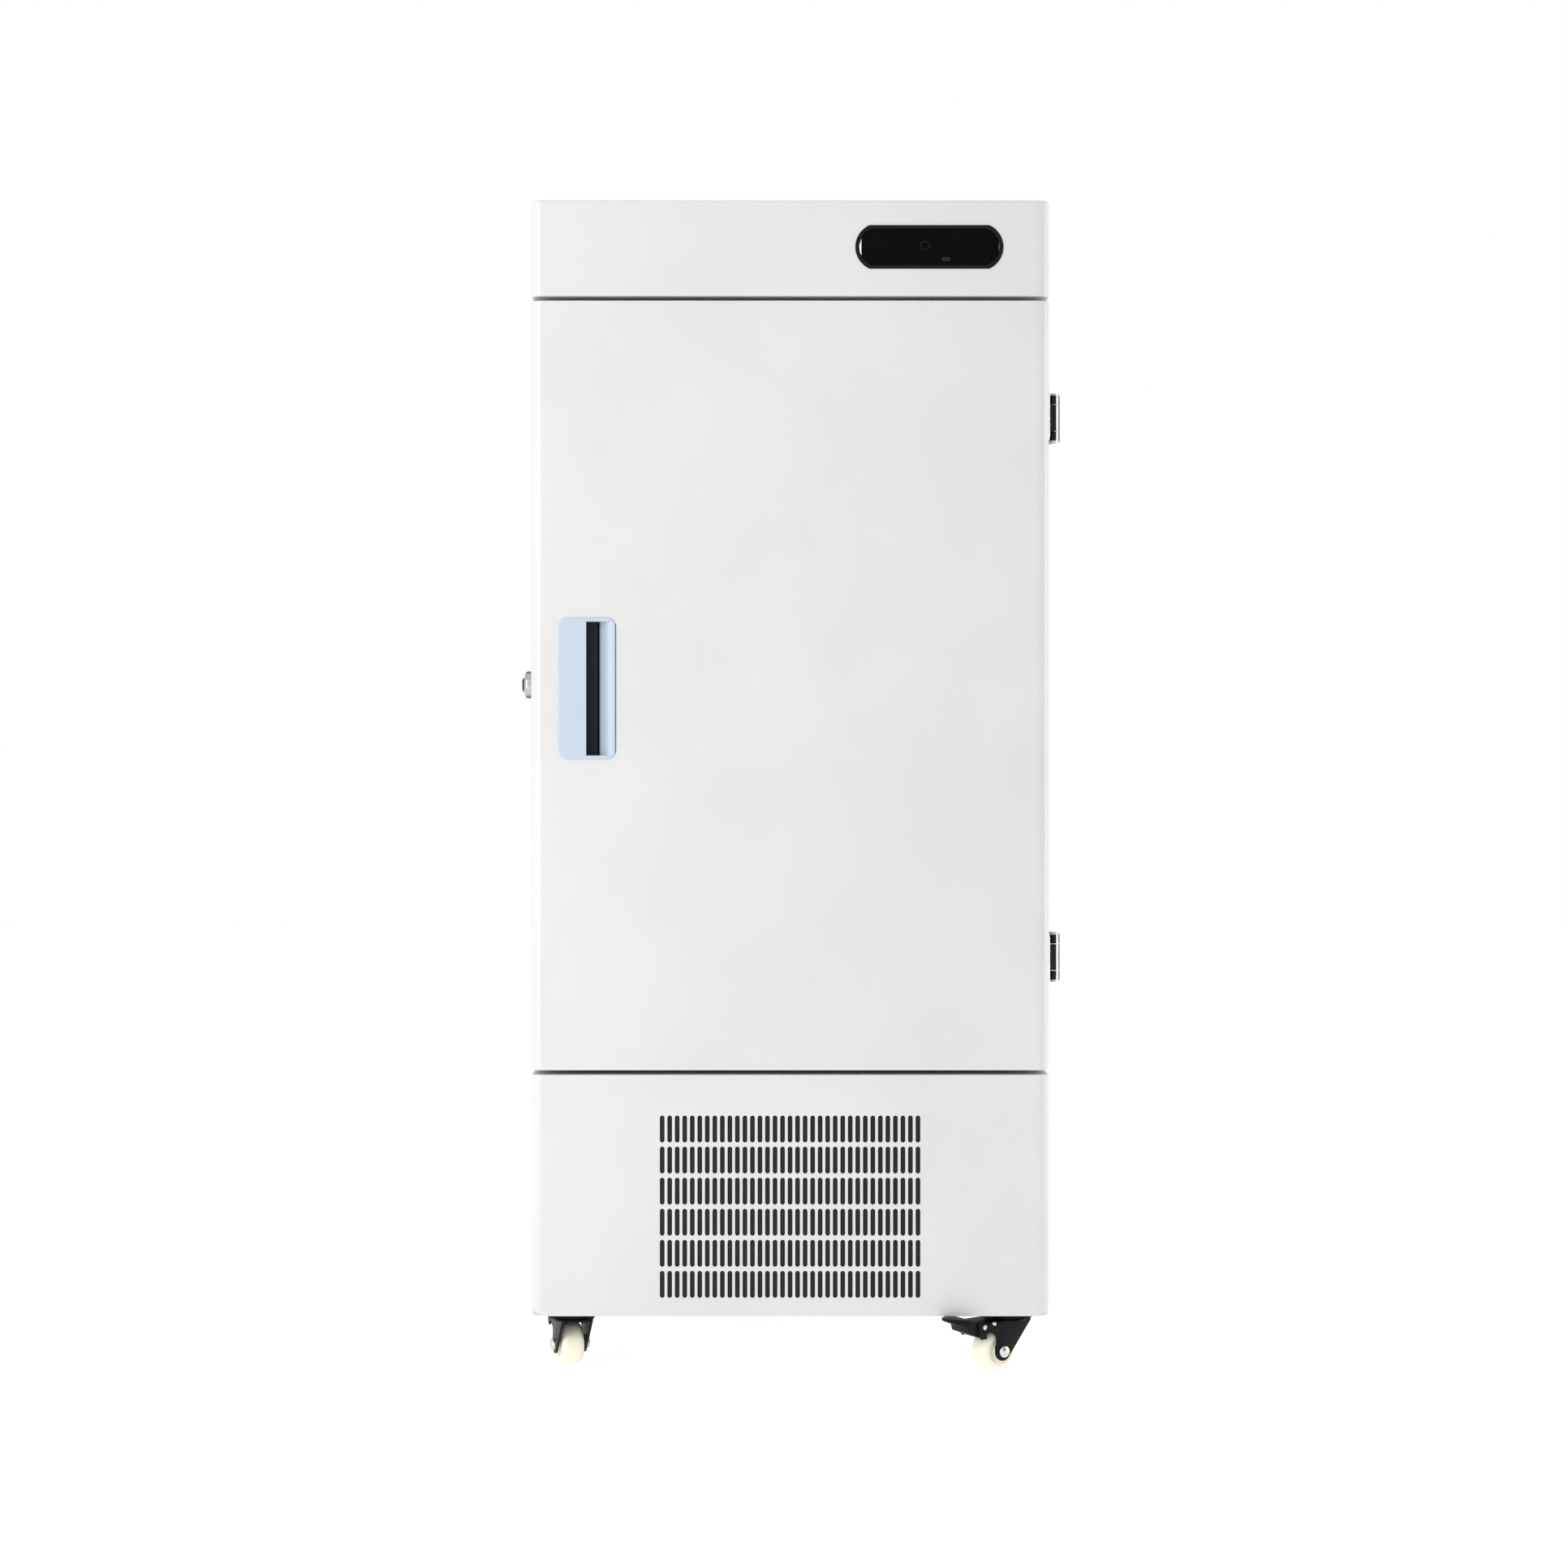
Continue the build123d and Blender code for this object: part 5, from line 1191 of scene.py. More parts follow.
class PlacedRepeat(Repeat):
    """Sets a drawn fastener at every place of a list, facing outwards and turned at random."""

    def __init__(self, name: str, one: bpy.types.Mesh, material: str) -> None:
        """Builds the tree.

        Args:
            name: Name of the tree.
            one: The drawn fastener, standing on its own origin and pointing along Z.
            material: Name of the finish.
        """
        super().__init__(name)
        self.holder = bpy.data.objects.new(name + "_one", one)
        places = self.size("Places", "NodeSocketGeometry")
        size = self.size("Size")
        seed = self.size("Seed", "NodeSocketInt")
        kind = {"data_type": "FLOAT_VECTOR"}
        facing = self.node("GeometryNodeInputNamedAttribute", kind, {"Name": "facing"})
        aim = self.node("FunctionNodeAlignRotationToVector", {"axis": "Z"}, {"Vector": facing.outputs[0]})
        values = {2: 0.0, 3: math.tau, "Seed": seed}
        turn = self.node("FunctionNodeRandomValue", {"data_type": "FLOAT"}, values)
        spin = self.node("FunctionNodeAxisAngleToRotation", {}, {"Axis": (0, 0, 1), "Angle": turn.outputs[1]})
        both = self.node(
            "FunctionNodeRotateRotation",
            {"rotation_space": "LOCAL"},
            {0: aim.outputs[0], 1: spin.outputs[0]},
        )
        source = self.node("GeometryNodeObjectInfo", {}, {"Object": self.holder})
        spread = self.node(
            "GeometryNodeInstanceOnPoints",
            {},
            {
                "Points": places,
                "Instance": source.outputs["Geometry"],
                "Rotation": both.outputs[0],
                "Scale": size,
            },
        )
        self.close(spread.outputs[0], material)

    def set(self, places: Sequence[tuple[Vector, Vector]], seed: int = 7) -> bpy.types.Mesh:
        """Sets the fasteners.

        Args:
            places: Points with their outward directions.
            seed: Seed of the random turns.

        Returns:
            The mesh.
        """
        base = bpy.data.meshes.new("places")
        base.from_pydata([point for point, out in places], [], [])
        facing = base.attributes.new("facing", "FLOAT_VECTOR", "POINT")
        facing.data.foreach_set("vector", [part for point, out in places for part in out])
        result = self.run({"Size": 1.0, "Seed": seed}, base)
        bpy.data.objects.remove(self.holder)
        return result


# Sub-assemblies


@dataclass
class SubAssembly:
    """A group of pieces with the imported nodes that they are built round."""

    nodes: dict[str, bpy.types.Object]
    bodies: dict[str, list[str]]
    delivery: Delivery

    def body_of(self, node: str) -> str:
        """The body that holds a node."""
        return next(body for body, members in self.bodies.items() if node in members)

    def refine(self, node: str, finish: str, ease: float) -> None:
        """Replaces a node by its own shape with clean faces and eased edges.

        Args:
            node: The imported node.
            finish: Name of its finish.
            ease: Width of the eased edges in millimetres, or 0.
        """
        data = node_copy(self.nodes[node])
        if ease:
            data = worked(data, [eased(ease)])
        self.delivery.hand(node + "_finished", data, finish, self.body_of(node), [node])

    def make(self) -> None:
        """Builds and delivers every piece."""
        raise NotImplementedError


@dataclass
class FrontPanels(SubAssembly):
    """Head fascia, door skin and slotted lower fascia: folded sheets with rolled upright edges."""

    half_width: float = HALF_WIDTH
    front: float = FRONT
    door_rear: float = DOOR_REAR
    case_front: float = CASE_FRONT
    corner: float = 14.0
    top_ease: float = 3.0
    seam_ease: float = 1.3
    foot_corner: float = 10.0
    sheet: float = 1.2
    support: float = 1.0
    lower: Point2 = (68.0, 346.5)
    door: Point2 = (351.5, 1240.0)
    head: Point2 = (1245.0, 1356.0)
    slot: Point2 = (5.5, 31.2)
    pitch: Point2 = (8.68, 35.85)
    grid: tuple[int, int] = (35, 6)
    grille_height: float = 194.3
    handle_hole: Point3 = HANDLE_BODY
    handle_centre: Point2 = HANDLE_CENTRE
    display_centre: Point2 = DISPLAY_CENTRE

    def plan(self, inset: float, side: float, rear: float) -> list[Point2]:
        """Outline of the sheet seen from above, from the left rear round the front to the right rear.

        Args:
            inset: How far the outline has moved in.
            side: How much narrower it is on each side besides.
            rear: Where the sheet ends at the rear.

        Returns:
            The outline, open at the rear.
        """
        half, front, radius = self.half_width - inset - side, self.front + inset, self.corner - inset
        left = arc((radius - half, front + radius), radius, 180, 270, 10)
        right = arc((half - radius, front + radius), radius, 270, 360, 10)
        flank = front + radius + self.support
        inner = half - radius - self.support
        face = [*left, (-inner, front), (inner, front), *right]
        return [(-half, rear), (-half, flank), *face, (half, flank), (half, rear)]

    def levels(self, span: Point2, foot: float, head: float) -> list[Point3]:
        """Rows of the panel from the bottom up: inset, narrowing and height.

        Args:
            span: Bottom and top of the panel.
            foot: Radius of the bottom edge, or 0 where the sheet ends open with round corners.
            head: Radius of the top edge.

        Returns:
            The rows.
        """
        bottom, top = span
        radius = self.foot_corner
        rows = [(0.0, x, z) for x, z in arc((radius, bottom + radius), radius, 270, 180, 8)]
        rows.append((0.0, 0.0, bottom + radius + self.support))
        if foot:
            curve = arc((foot, bottom + foot), foot, 270, 180, 5)
            rows = [(foot + self.support, 0.0, bottom), *((x, 0.0, z) for x, z in curve)]
            rows.append((0.0, 0.0, bottom + foot + self.support))
        curve = arc((head, top - head), head, 180, 90, 5)
        rows.append((0.0, 0.0, top - head - self.support))
        return [*rows, *((x, 0.0, z) for x, z in curve), (head + self.support, 0.0, top)]

    def panel(
        self,
        span: Point2,
        rear: float,
        eases: Point2,
        hole: Sequence[Point2],
        extra: Optional[bpy.types.Mesh] = None,
    ) -> bpy.types.Mesh:
        """Draws one folded panel.

        Args:
            span: Bottom and top.
            rear: Where it ends at the rear.
            eases: Radii of the bottom and the top edge.
            hole: Outline of the opening in its face.
            extra: Surface that fills the opening.

        Returns:
            The panel with its thickness.
        """
        shell = Shell()
        rows = self.levels(span, *eases)
        rings = []
        for inset, side, z in rows:
            rings.append(shell.ring(Vector((x, y, z)) for x, y in self.plan(inset, side, rear)))
        middle = next(place for place, row in enumerate(rows) if row[2] > sum(span) / 2)
        steps = [two.co.x - one.co.x for one, two in zip(rings[0], rings[0][1:])]
        face = steps.index(max(steps))
        for level, (low, high) in enumerate(zip(rings, rings[1:])):
            for place in range(len(steps)):
                if level != middle - 1 or place != face:
                    shell.face((low[place], low[place + 1], high[place + 1], high[place]))
        shell.face(rings[-1])
        if eases[0]:
            shell.face(list(reversed(rings[0])))
        low, high = rings[middle - 1], rings[middle]
        border = [low[face], low[face + 1], high[face + 1], high[face]]
        shell.fill(border, shell.ring(Vector((x, self.front, z)) for x, z in hole))
        if extra:
            shell.mesh.from_mesh(extra)
        return worked(shell.finish(0.01), [folded(self.sheet)])

    def slot_tile(self) -> bpy.types.Mesh:
        """One cell of the grille: a rectangle with a round-ended slot, as a flat surface.

        Returns:
            The tile, centred on its origin.
        """
        half_x, half_z = self.pitch[0] / 2, self.pitch[1] / 2
        radius = self.slot[0] / 2
        rise = self.slot[1] / 2 - radius
        shell = Shell()
        for side in (1, -1):
            round_top = arc((0, rise), radius, 90, 0, 7)
            round_foot = arc((0, -rise), radius, 0, -90, 7)
            border = [(0, -half_z), (half_x, -half_z), (half_x, half_z)]
            outline = [(0, half_z), *round_top, *round_foot, *border]
            verts = shell.ring(Vector((side * x, 0, z)) for x, z in outline)
            shell.mesh.faces.new(verts if side > 0 else list(reversed(verts)))
        return shell.finish()

    def grille(self) -> tuple[bpy.types.Mesh, list[Point2]]:
        """The field of slots and the outline that it leaves in the panel."""
        columns, rows = self.grid
        centre = Vector((0, self.front, self.grille_height))
        tree = GridRepeat("grille_slots", self.slot_tile(), "cabinet_white", 0.01)
        slots = tree.spread(columns, rows, self.pitch, centre)
        half_x, half_z = columns * self.pitch[0] / 2, rows * self.pitch[1] / 2
        across = [step * self.pitch[0] / 2 - half_x for step in range(2 * columns + 1)]
        upward = [step * self.pitch[1] - half_z + self.grille_height for step in range(rows + 1)]
        low, high = upward[0], upward[-1]
        outline = [(x, low) for x in across] + [(half_x, z) for z in upward[1:]]
        outline += [(x, high) for x in reversed(across[:-1])] + [(-half_x, z) for z in reversed(upward[1:-1])]
        return slots, outline

    def make(self) -> None:
        """Builds the three panels."""
        width, height, radius = self.handle_hole
        x, z = self.handle_centre
        handle_hole = [(x + px, z + pz) for px, pz in rounded_rectangle(width, height, radius)]
        x, z = self.display_centre
        display_hole = [(x + px, z + pz) for px, pz in window_outline(0.0)]
        slots, opening = self.grille()
        seam = self.seam_ease
        head = self.panel(self.head, self.case_front, (seam, self.top_ease), display_hole)
        self.delivery.hand("head_fascia_sheet", head, "cabinet_white", "cabinet", ["head_fascia"], 40)
        door = self.panel(self.door, self.door_rear, (seam, seam), handle_hole)
        self.delivery.hand("door_skin_sheet", door, "cabinet_white", "door", ["door_skin"], 40)
        lower = self.panel(self.lower, self.case_front, (0.0, seam), opening, slots)
        self.delivery.hand("lower_fascia_sheet", lower, "cabinet_white", "cabinet", ["lower_fascia"], 40)


def window_outline(margin: float) -> list[Point2]:
    """Outline of the display with its bulged ends, turning left.

    Args:
        margin: How far it has grown.

    Returns:
        The outline round its own centre.
    """
    half_long, half_tall, bulge = 83.0 + margin, 22.65 + margin, 16.4
    shoulder = half_long - bulge
    radius = (half_tall**2 + bulge**2) / (2 * bulge)
    sweep = math.degrees(math.asin(half_tall / radius))
    centre = half_long - radius
    right = arc((centre, 0), radius, -sweep, sweep, 20)
    left = [(-x, -y) for x, y in right]
    top = [(shoulder - 2 * shoulder * step / 6, half_tall) for step in range(1, 6)]
    foot = [(-x, -y) for x, y in top]
    return right + top + left + foot


@dataclass
class Display(SubAssembly):
    """Bezel, dark pane and the faint marks behind it."""

    centre: Point2 = DISPLAY_CENTRE
    front: float = FRONT
    rim: float = 2.5
    stand: float = 1.2
    wall: float = 1.8
    sleeve: float = 12.0
    pane_stand: float = 0.6
    pane_thickness: float = 2.5
    field: Point2 = (19.4, -14.2)
    field_size: Point2 = (9.6, 4.6)
    dial: Point2 = (-5.2, 1.6)
    dial_radii: Point2 = (4.65, 5.35)

    def bezel(self, place: Stand) -> None:
        """Draws the ring: a flange with a round outer edge on a sleeve that enters the opening."""
        bezel = Shell()
        ease = self.stand * 0.75
        rows = [(0.0, -self.sleeve), (0.0, 0.0), (self.rim, 0.0), (self.rim, self.stand - ease)]
        rows += [(self.rim - ease + a, b) for a, b in arc((0, self.stand - ease), ease, 0, 90, 5)[1:]]
        rows += [(-self.wall + 0.9, self.stand), (-self.wall + 0.3, self.stand - 0.2)]
        rows += [(-self.wall, self.stand - 0.6), (-self.wall, -self.sleeve), (0.0, -self.sleeve)]
        bezel.loft([[place.at(x, z, out) for x, z in window_outline(margin)] for margin, out in rows])
        ring = bezel.finish()
        self.delivery.hand("display_bezel_ring", ring, "bezel_dark", "cabinet", ["display_bezel"], 45)

    def pane(self, place: Stand) -> None:
        """Draws the pane with its slightly rolled rim."""
        pane, top = Shell(), self.pane_stand
        rows = [(-0.05, top - self.pane_thickness), (-0.05, top - 1.0), (-0.25, top - 0.45)]
        rows += [(-0.9, top - 0.12), (-2.2, top), (-3.2, top)]
        outlines = [(window_outline(margin - self.wall), out) for margin, out in rows]
        pane.loft([[place.at(x, z, out) for x, z in outline] for outline, out in outlines], True, True)
        window = pane.finish()
        self.delivery.hand("display_window_pane", window, "display_pane", "cabinet", ["display_window"], 60)

    def marks(self, place: Stand) -> None:
        """Draws the faint ring and the faint field."""
        marks = Shell()
        low, high = self.pane_stand - 0.05, self.pane_stand + 0.03
        marks.prism(place.moved(*self.field), rounded_rectangle(*self.field_size, 0.6, 3), low, high)
        inner, outer = self.dial_radii
        section = [(inner, low), (outer, low), (outer, high), (inner, high), (inner, low)]
        marks.lathe(place.moved(*self.dial), section, 40)
        self.delivery.hand("display_marks", marks.finish(), "display_mark", "cabinet")

    def make(self) -> None:
        """Builds the bezel, the pane and the marks."""
        place = front_stand(self.centre[0], self.front, self.centre[1])
        self.bezel(place)
        self.pane(place)
        self.marks(place)


@dataclass
class HandleRecess(SubAssembly):
    """Blue moulded pull: an eased rim, a cover plate, a finger hollow behind it and a concave scoop."""

    centre: Point2 = HANDLE_CENTRE
    front: float = FRONT
    width: float = 66.5
    height: float = 163.7
    corner: float = 11.0
    stand: float = 1.6
    ease: float = 1.2
    mouth: Point2 = (-235.25, -205.45)
    mouth_half: float = 77.35
    hollow_left: float = -260.45
    depth: float = 34.0
    cover: float = 4.0
    wall: float = 2.5
    gap: float = 11.0
    knee: Point2 = (4.0, 15.0)
    rim_step: float = 0.4
    flat_inset: float = 0.5
    body: Point3 = HANDLE_BODY

    def scoop(self) -> list[Point2]:
        """Cross-section of the scoop from its floor to the right rim, as (x, out).

        Returns:
            The points, floor first.
        """
        left, right = self.mouth[0] + self.gap, self.mouth[1]
        foot, low = left + self.knee[0], self.stand - self.knee[1]
        points = [(left, -self.depth), (left + 0.4 * self.knee[0], (low - self.depth) / 2)]
        count = 14
        for step in range(count + 1):
            share = step / count
            rise = math.sin(share * math.pi / 2) ** 1.15
            points.append((foot + (right - foot) * share, low + (self.stand - self.rim_step - low) * rise))
        return [*points, (right, self.stand)]

    def rim(self, margin: float) -> list[Point2]:
        """Outline of the rim at a margin."""
        grown = 2 * margin
        return rounded_rectangle(self.width + grown, self.height + grown, self.corner + margin)

    def make(self) -> None:
        """Builds the moulding."""
        place = front_stand(self.centre[0], self.front, self.centre[1])
        whole = front_stand(0, self.front, self.centre[1])
        body, back, ease = rounded_rectangle(*self.body), -self.depth - self.wall, self.ease
        outlines = [(body, back), (body, 0.0), (self.rim(0.0), 0.0)]
        outlines += [(self.rim(across), up) for across, up in arc((-ease, self.stand - ease), ease, 0, 90, 5)]
        outlines.append((self.rim(-ease - self.flat_inset), self.stand))
        shell = Shell()
        rings = shell.loft([[place.at(x, z, out) for x, z in outline] for outline, out in outlines], True)
        cover_back = self.stand - self.cover
        section = [(self.mouth[0], self.stand), (self.mouth[0], cover_back), (self.hollow_left, cover_back)]
        section += [(self.hollow_left, -self.depth), *self.scoop()]
        low = shell.ring(whole.at(x, -self.mouth_half, out) for x, out in section)
        high = shell.ring(whole.at(x, self.mouth_half, out) for x, out in section)
        for step in range(len(section) - 1):
            shell.mesh.faces.new((low[step], low[step + 1], high[step + 1], high[step]))
        shell.mesh.faces.new(low)
        shell.mesh.faces.new(list(reversed(high)))
        shell.fill(rings[-1], [low[0], low[-1], high[-1], high[0]])
        data = worked(shell.finish(), [eased(0.7, 3, 40)])
        self.delivery.hand("handle_recess_moulding", data, "handle_blue", "door", ["handle_recess"], 40)


@dataclass
class SideLock(SubAssembly):
    """Lock on the door's left edge: a chamfered base and a core with its key slot and cam."""

    centre: Point2 = (-285.0, LOCK_LEVEL)
    face: float = -HALF_WIDTH
    base_radius: float = 16.0
    base_height: float = 10.4
    core_radius: float = 8.2
    core_stand: float = 2.5
    core_gap: float = 0.25
    spigot: Point2 = (9.7, 1.5)
    key: Point2 = (1.6, 9.0)
    key_depth: float = 4.0
    cam_depth: float = 1.8
    cam_thickness: float = 2.5
    cam_width: float = 12.0
    cam_reach: float = 42.0

    def base(self, place: Stand) -> None:
        """Draws the base: a spigot in the door's edge under a domed collar round the core."""
        base = Shell()
        top, edge, bore = self.base_height, self.base_radius, self.core_radius + self.core_gap
        radius, depth = self.spigot
        profile = [(bore, -depth), (radius, -depth), (radius, 0.0), (edge, 0.0), (edge, 0.6)]
        profile += [(edge, top - 3.2), (edge - 0.4, top - 2.3), (edge - 1.6, top - 1.2)]
        profile.append((edge - 3.6, top - 0.3))
        profile += [(edge - 5.2, top), (bore + 0.85, top), (bore + 0.2, top - 0.3), (bore, top - 1.0)]
        base.lathe(place, [*profile, (bore, -depth)])
        self.delivery.hand("lock_housing_base", base.finish(), "lock_face", "door", ["lock_housing"], 25)

    def core(self, place: Stand) -> bpy.types.Mesh:
        """Draws the core with its key slot.

        Args:
            place: Its origin lies on the door's edge.

        Returns:
            The core without its cam.
        """
        core = Shell()
        top, reach = self.base_height + self.core_stand, self.core_radius
        profile = [(reach, -self.cam_depth), (reach, top - 1.4), (reach - 0.35, top - 0.5)]
        profile += [(reach - 1.2, top), (reach - 1.8, top)]
        rows = []
        for radius, height in profile:
            rows.append([place.at(x, z, height) for x, z in arc((0, 0), radius, 0, 352.5, 47)])
        rings = core.loft(rows, True)
        half_w, half_h = self.key[0] / 2, self.key[1] / 2
        corners = ((half_w, half_h), (-half_w, half_h), (-half_w, -half_h), (half_w, -half_h))
        mouth = core.ring(place.at(x, z, top) for x, z in corners)
        floor = core.ring(place.at(x, z, top - self.key_depth) for x, z in corners)
        core.fill(rings[-1], mouth)
        core.skin([floor, mouth])
        core.face(floor)
        return core.finish()

    def make(self) -> None:
        """Builds the base, and the core with the cam on its inner end."""
        place = left_stand(self.face, *self.centre)
        self.base(place)
        body = self.core(place)
        cam = Shell()
        half = self.cam_width / 2
        straight = self.cam_reach - half
        outline = [(half, 0.0), *arc((0, straight), half, 0, 180, 12), (-half, 0.0)]
        outline += arc((0, 0), self.core_radius, 222, 318, 10)
        cam.prism(place, outline, -self.cam_depth - self.cam_thickness, -self.cam_depth)
        cam.mesh.from_mesh(body)
        self.delivery.hand("lock_core_turning", cam.finish(), "lock_dark", "lock_core", ["lock_core"], 25)


@dataclass
class SideHinges(SubAssembly):
    """Two bright hinges on the right: cabinet leaf with two lugs, door leaf with one barrel, and the pin."""

    pivot: Point2 = (311.5, -256.0)
    levels: Point2 = HINGE_LEVELS
    height: float = 60.0
    lug: float = 14.0
    barrel_radius: float = 7.5
    crown: float = 5.5
    face: float = HALF_WIDTH
    door_rear: float = DOOR_REAR
    case_front: float = CASE_FRONT
    leaf_length: float = 38.0
    leaf_thickness: float = 3.0
    leaf_corner: float = 8.0
    leaf_ease: float = 0.7
    seam: float = 0.7
    tick: float = 0.5
    screw_shift: float = 6.0

    def leaf(self, shell: Shell, level: float, toward: int) -> None:
        """Draws one leaf.

        Args:
            shell: The mesh to draw in.
            level: Middle height.
            toward: -1 on the door, 1 on the cabinet.
        """
        start = self.door_rear if toward < 0 else self.case_front
        place = right_stand(self.face, start + toward * self.leaf_length / 2, level)
        half_l, half_h, corner = self.leaf_length / 2, self.height / 2, self.leaf_corner

        def outline(margin: float) -> list[Point2]:
            """Outline with two round corners on the far side."""
            long, tall, radius = half_l + margin, half_h + margin, corner + margin
            upper = arc((long - radius, tall - radius), radius, 0, 90, 8)
            lower = arc((long - radius, radius - tall), radius, 270, 360, 8)
            points = [*upper, (-long, tall), (-long, -tall), *lower]
            return points if toward > 0 else [(-x, y) for x, y in reversed(points)]

        shell.plate(place, outline, self.leaf_thickness, self.leaf_ease)

    def web(self, shell: Shell, low: float, high: float, toward: int) -> None:
        """Draws the rolled web between a leaf and its barrel.

        Args:
            shell: The mesh to draw in.
            low: Lower end.
            high: Upper end.
            toward: -1 on the door, 1 on the cabinet.
        """
        start = self.door_rear if toward < 0 else self.case_front
        x, y = self.pivot
        thick = self.face + self.leaf_thickness
        points = [(self.face, start + toward * 6), (self.face, start), (x, y + toward * 1.5)]
        points += [(x, y + toward * (self.barrel_radius - 0.4))]
        points += [(thick + 2.4, start + toward * 1.6), (thick, start + toward * 5)]
        shell.prism(level_stand(), points if toward < 0 else points[::-1], low, high)

    def barrel(self, shell: Shell, low: float, high: float, round_low: bool, round_high: bool) -> None:
        """Draws one knuckle.

        Args:
            shell: The mesh to draw in.
            low: Lower end.
            high: Upper end.
            round_low: Whether the lower end is crowned.
            round_high: Whether the upper end is crowned.
        """
        radius, tick, crown = self.barrel_radius, self.tick, self.crown
        foot = [(radius - tick, low), (radius, low + tick)]
        if round_low:
            foot = arc((radius - crown, low + crown), crown, 270, 360, 8)
        head = [(radius, high - tick), (radius - tick, high)]
        if round_high:
            head = arc((radius - crown, high - crown), crown, 0, 90, 8)
        shell.lathe(level_stand(*self.pivot), [(0.0, low), *foot, *head, (0.0, high)], 56)

    def make(self) -> None:
        """Builds the leaves and sets their screws."""
        fixed, moving = Shell(), Shell()
        places: dict[int, list[tuple[Vector, Vector]]] = {1: [], -1: []}
        for level in self.levels:
            low, high = level - self.height / 2, level + self.height / 2
            for toward, shell in ((1, fixed), (-1, moving)):
                self.leaf(shell, level, toward)
                start = self.case_front if toward > 0 else self.door_rear
                for side in (1, -1):
                    y = start + toward * (self.leaf_length / 2 + self.screw_shift)
                    spot = Vector((self.face + self.leaf_thickness, y, level + side * self.height / 4))
                    places[toward].append((spot, Vector((1, 0, 0))))
            for bottom, top, crowned_low in ((low, low + self.lug, True), (high - self.lug, high, False)):
                self.barrel(fixed, bottom, top, crowned_low, not crowned_low)
                self.web(fixed, bottom, top, 1)
            inner = (low + self.lug + self.seam, high - self.lug - self.seam)
            self.barrel(moving, *inner, False, False)
            self.web(moving, *inner, -1)
        hidden = ["hinge_cabinet_leaves", "hinge_pins"]
        self.delivery.hand("hinge_cabinet_halves", fixed.finish(), "hinge_chrome", "cabinet", hidden, 30)
        hidden = ["hinge_door_leaves"]
        self.delivery.hand("hinge_door_halves", moving.finish(), "hinge_chrome", "door", hidden, 30)
        for toward, body in ((1, "cabinet"), (-1, "door")):
            name = f"hinge_screws_{body}"
            screws = PlacedRepeat(name, cross_screw(3.6, 0.9), "zinc_plating").set(places[toward])
            self.delivery.hand(name, screws, "zinc_plating", body)


def cross_screw(radius: float, rise: float) -> bpy.types.Mesh:
    """Domed screw head with a cross recess, standing on its origin.

    Args:
        radius: Radius of the head.
        rise: Height of the dome.

    Returns:
        The head.
    """
    shell = Shell()
    stand = level_stand()
    arm, half = radius * 0.5, radius * 0.11
    cross = [(arm, -half), (arm, half), (half, half), (half, arm), (-half, arm), (-half, half)]
    cross += [(-arm, half), (-arm, -half), (-half, -half), (-half, -arm), (half, -arm), (half, -half)]
    rows = [[stand.at(x, y, -0.2) for x, y in arc((0, 0), radius, 0, 337.5, 15)]]
    for share, lift in ((1.0, 0.25), (0.9, 0.7), (0.68, 1.0)):
        rows.append([stand.at(x, y, rise * lift) for x, y in arc((0, 0), radius * share, 0, 337.5, 15)])
    rings = shell.loft(rows, True)
    mouth = shell.ring(stand.at(x, y, rise) for x, y in cross)
    floor = shell.ring(stand.at(x * 0.7, y * 0.7, rise * 0.2) for x, y in cross)
    shell.fill(rings[-1], mouth)
    shell.skin([floor, mouth])
    shell.face(floor)
    return shell.finish()


class Place(Enum):
    """The four casters: middle of the swivel, direction of the trail in degrees, and whether braked."""

    FRONT_LEFT = (-253.0, -292.0, 107.0, True)
    FRONT_RIGHT = (253.0, -292.0, 215.0, True)
    REAR_LEFT = (-253.0, 292.0, 120.0, False)
    REAR_RIGHT = (253.0, 292.0, 75.0, False)

    @property
    def label(self) -> str:
        """The name of the place in the nodes."""
        return self.name.lower()

    @property
    def braked(self) -> bool:
        """Whether it has a pedal."""
        return self.value[3]

    def stand(self, trail: float = 0.0, height: float = 0.0) -> Stand:
        """Side view of the caster: right runs along the trail, out runs across the wheel."""
        x, y, degrees, _ = self.value
        turn = math.radians(degrees)
        along = Vector((math.cos(turn), math.sin(turn), 0))
        return Stand(Vector((x, y, height)) + along * trail, along, Vector((0, 0, 1)))


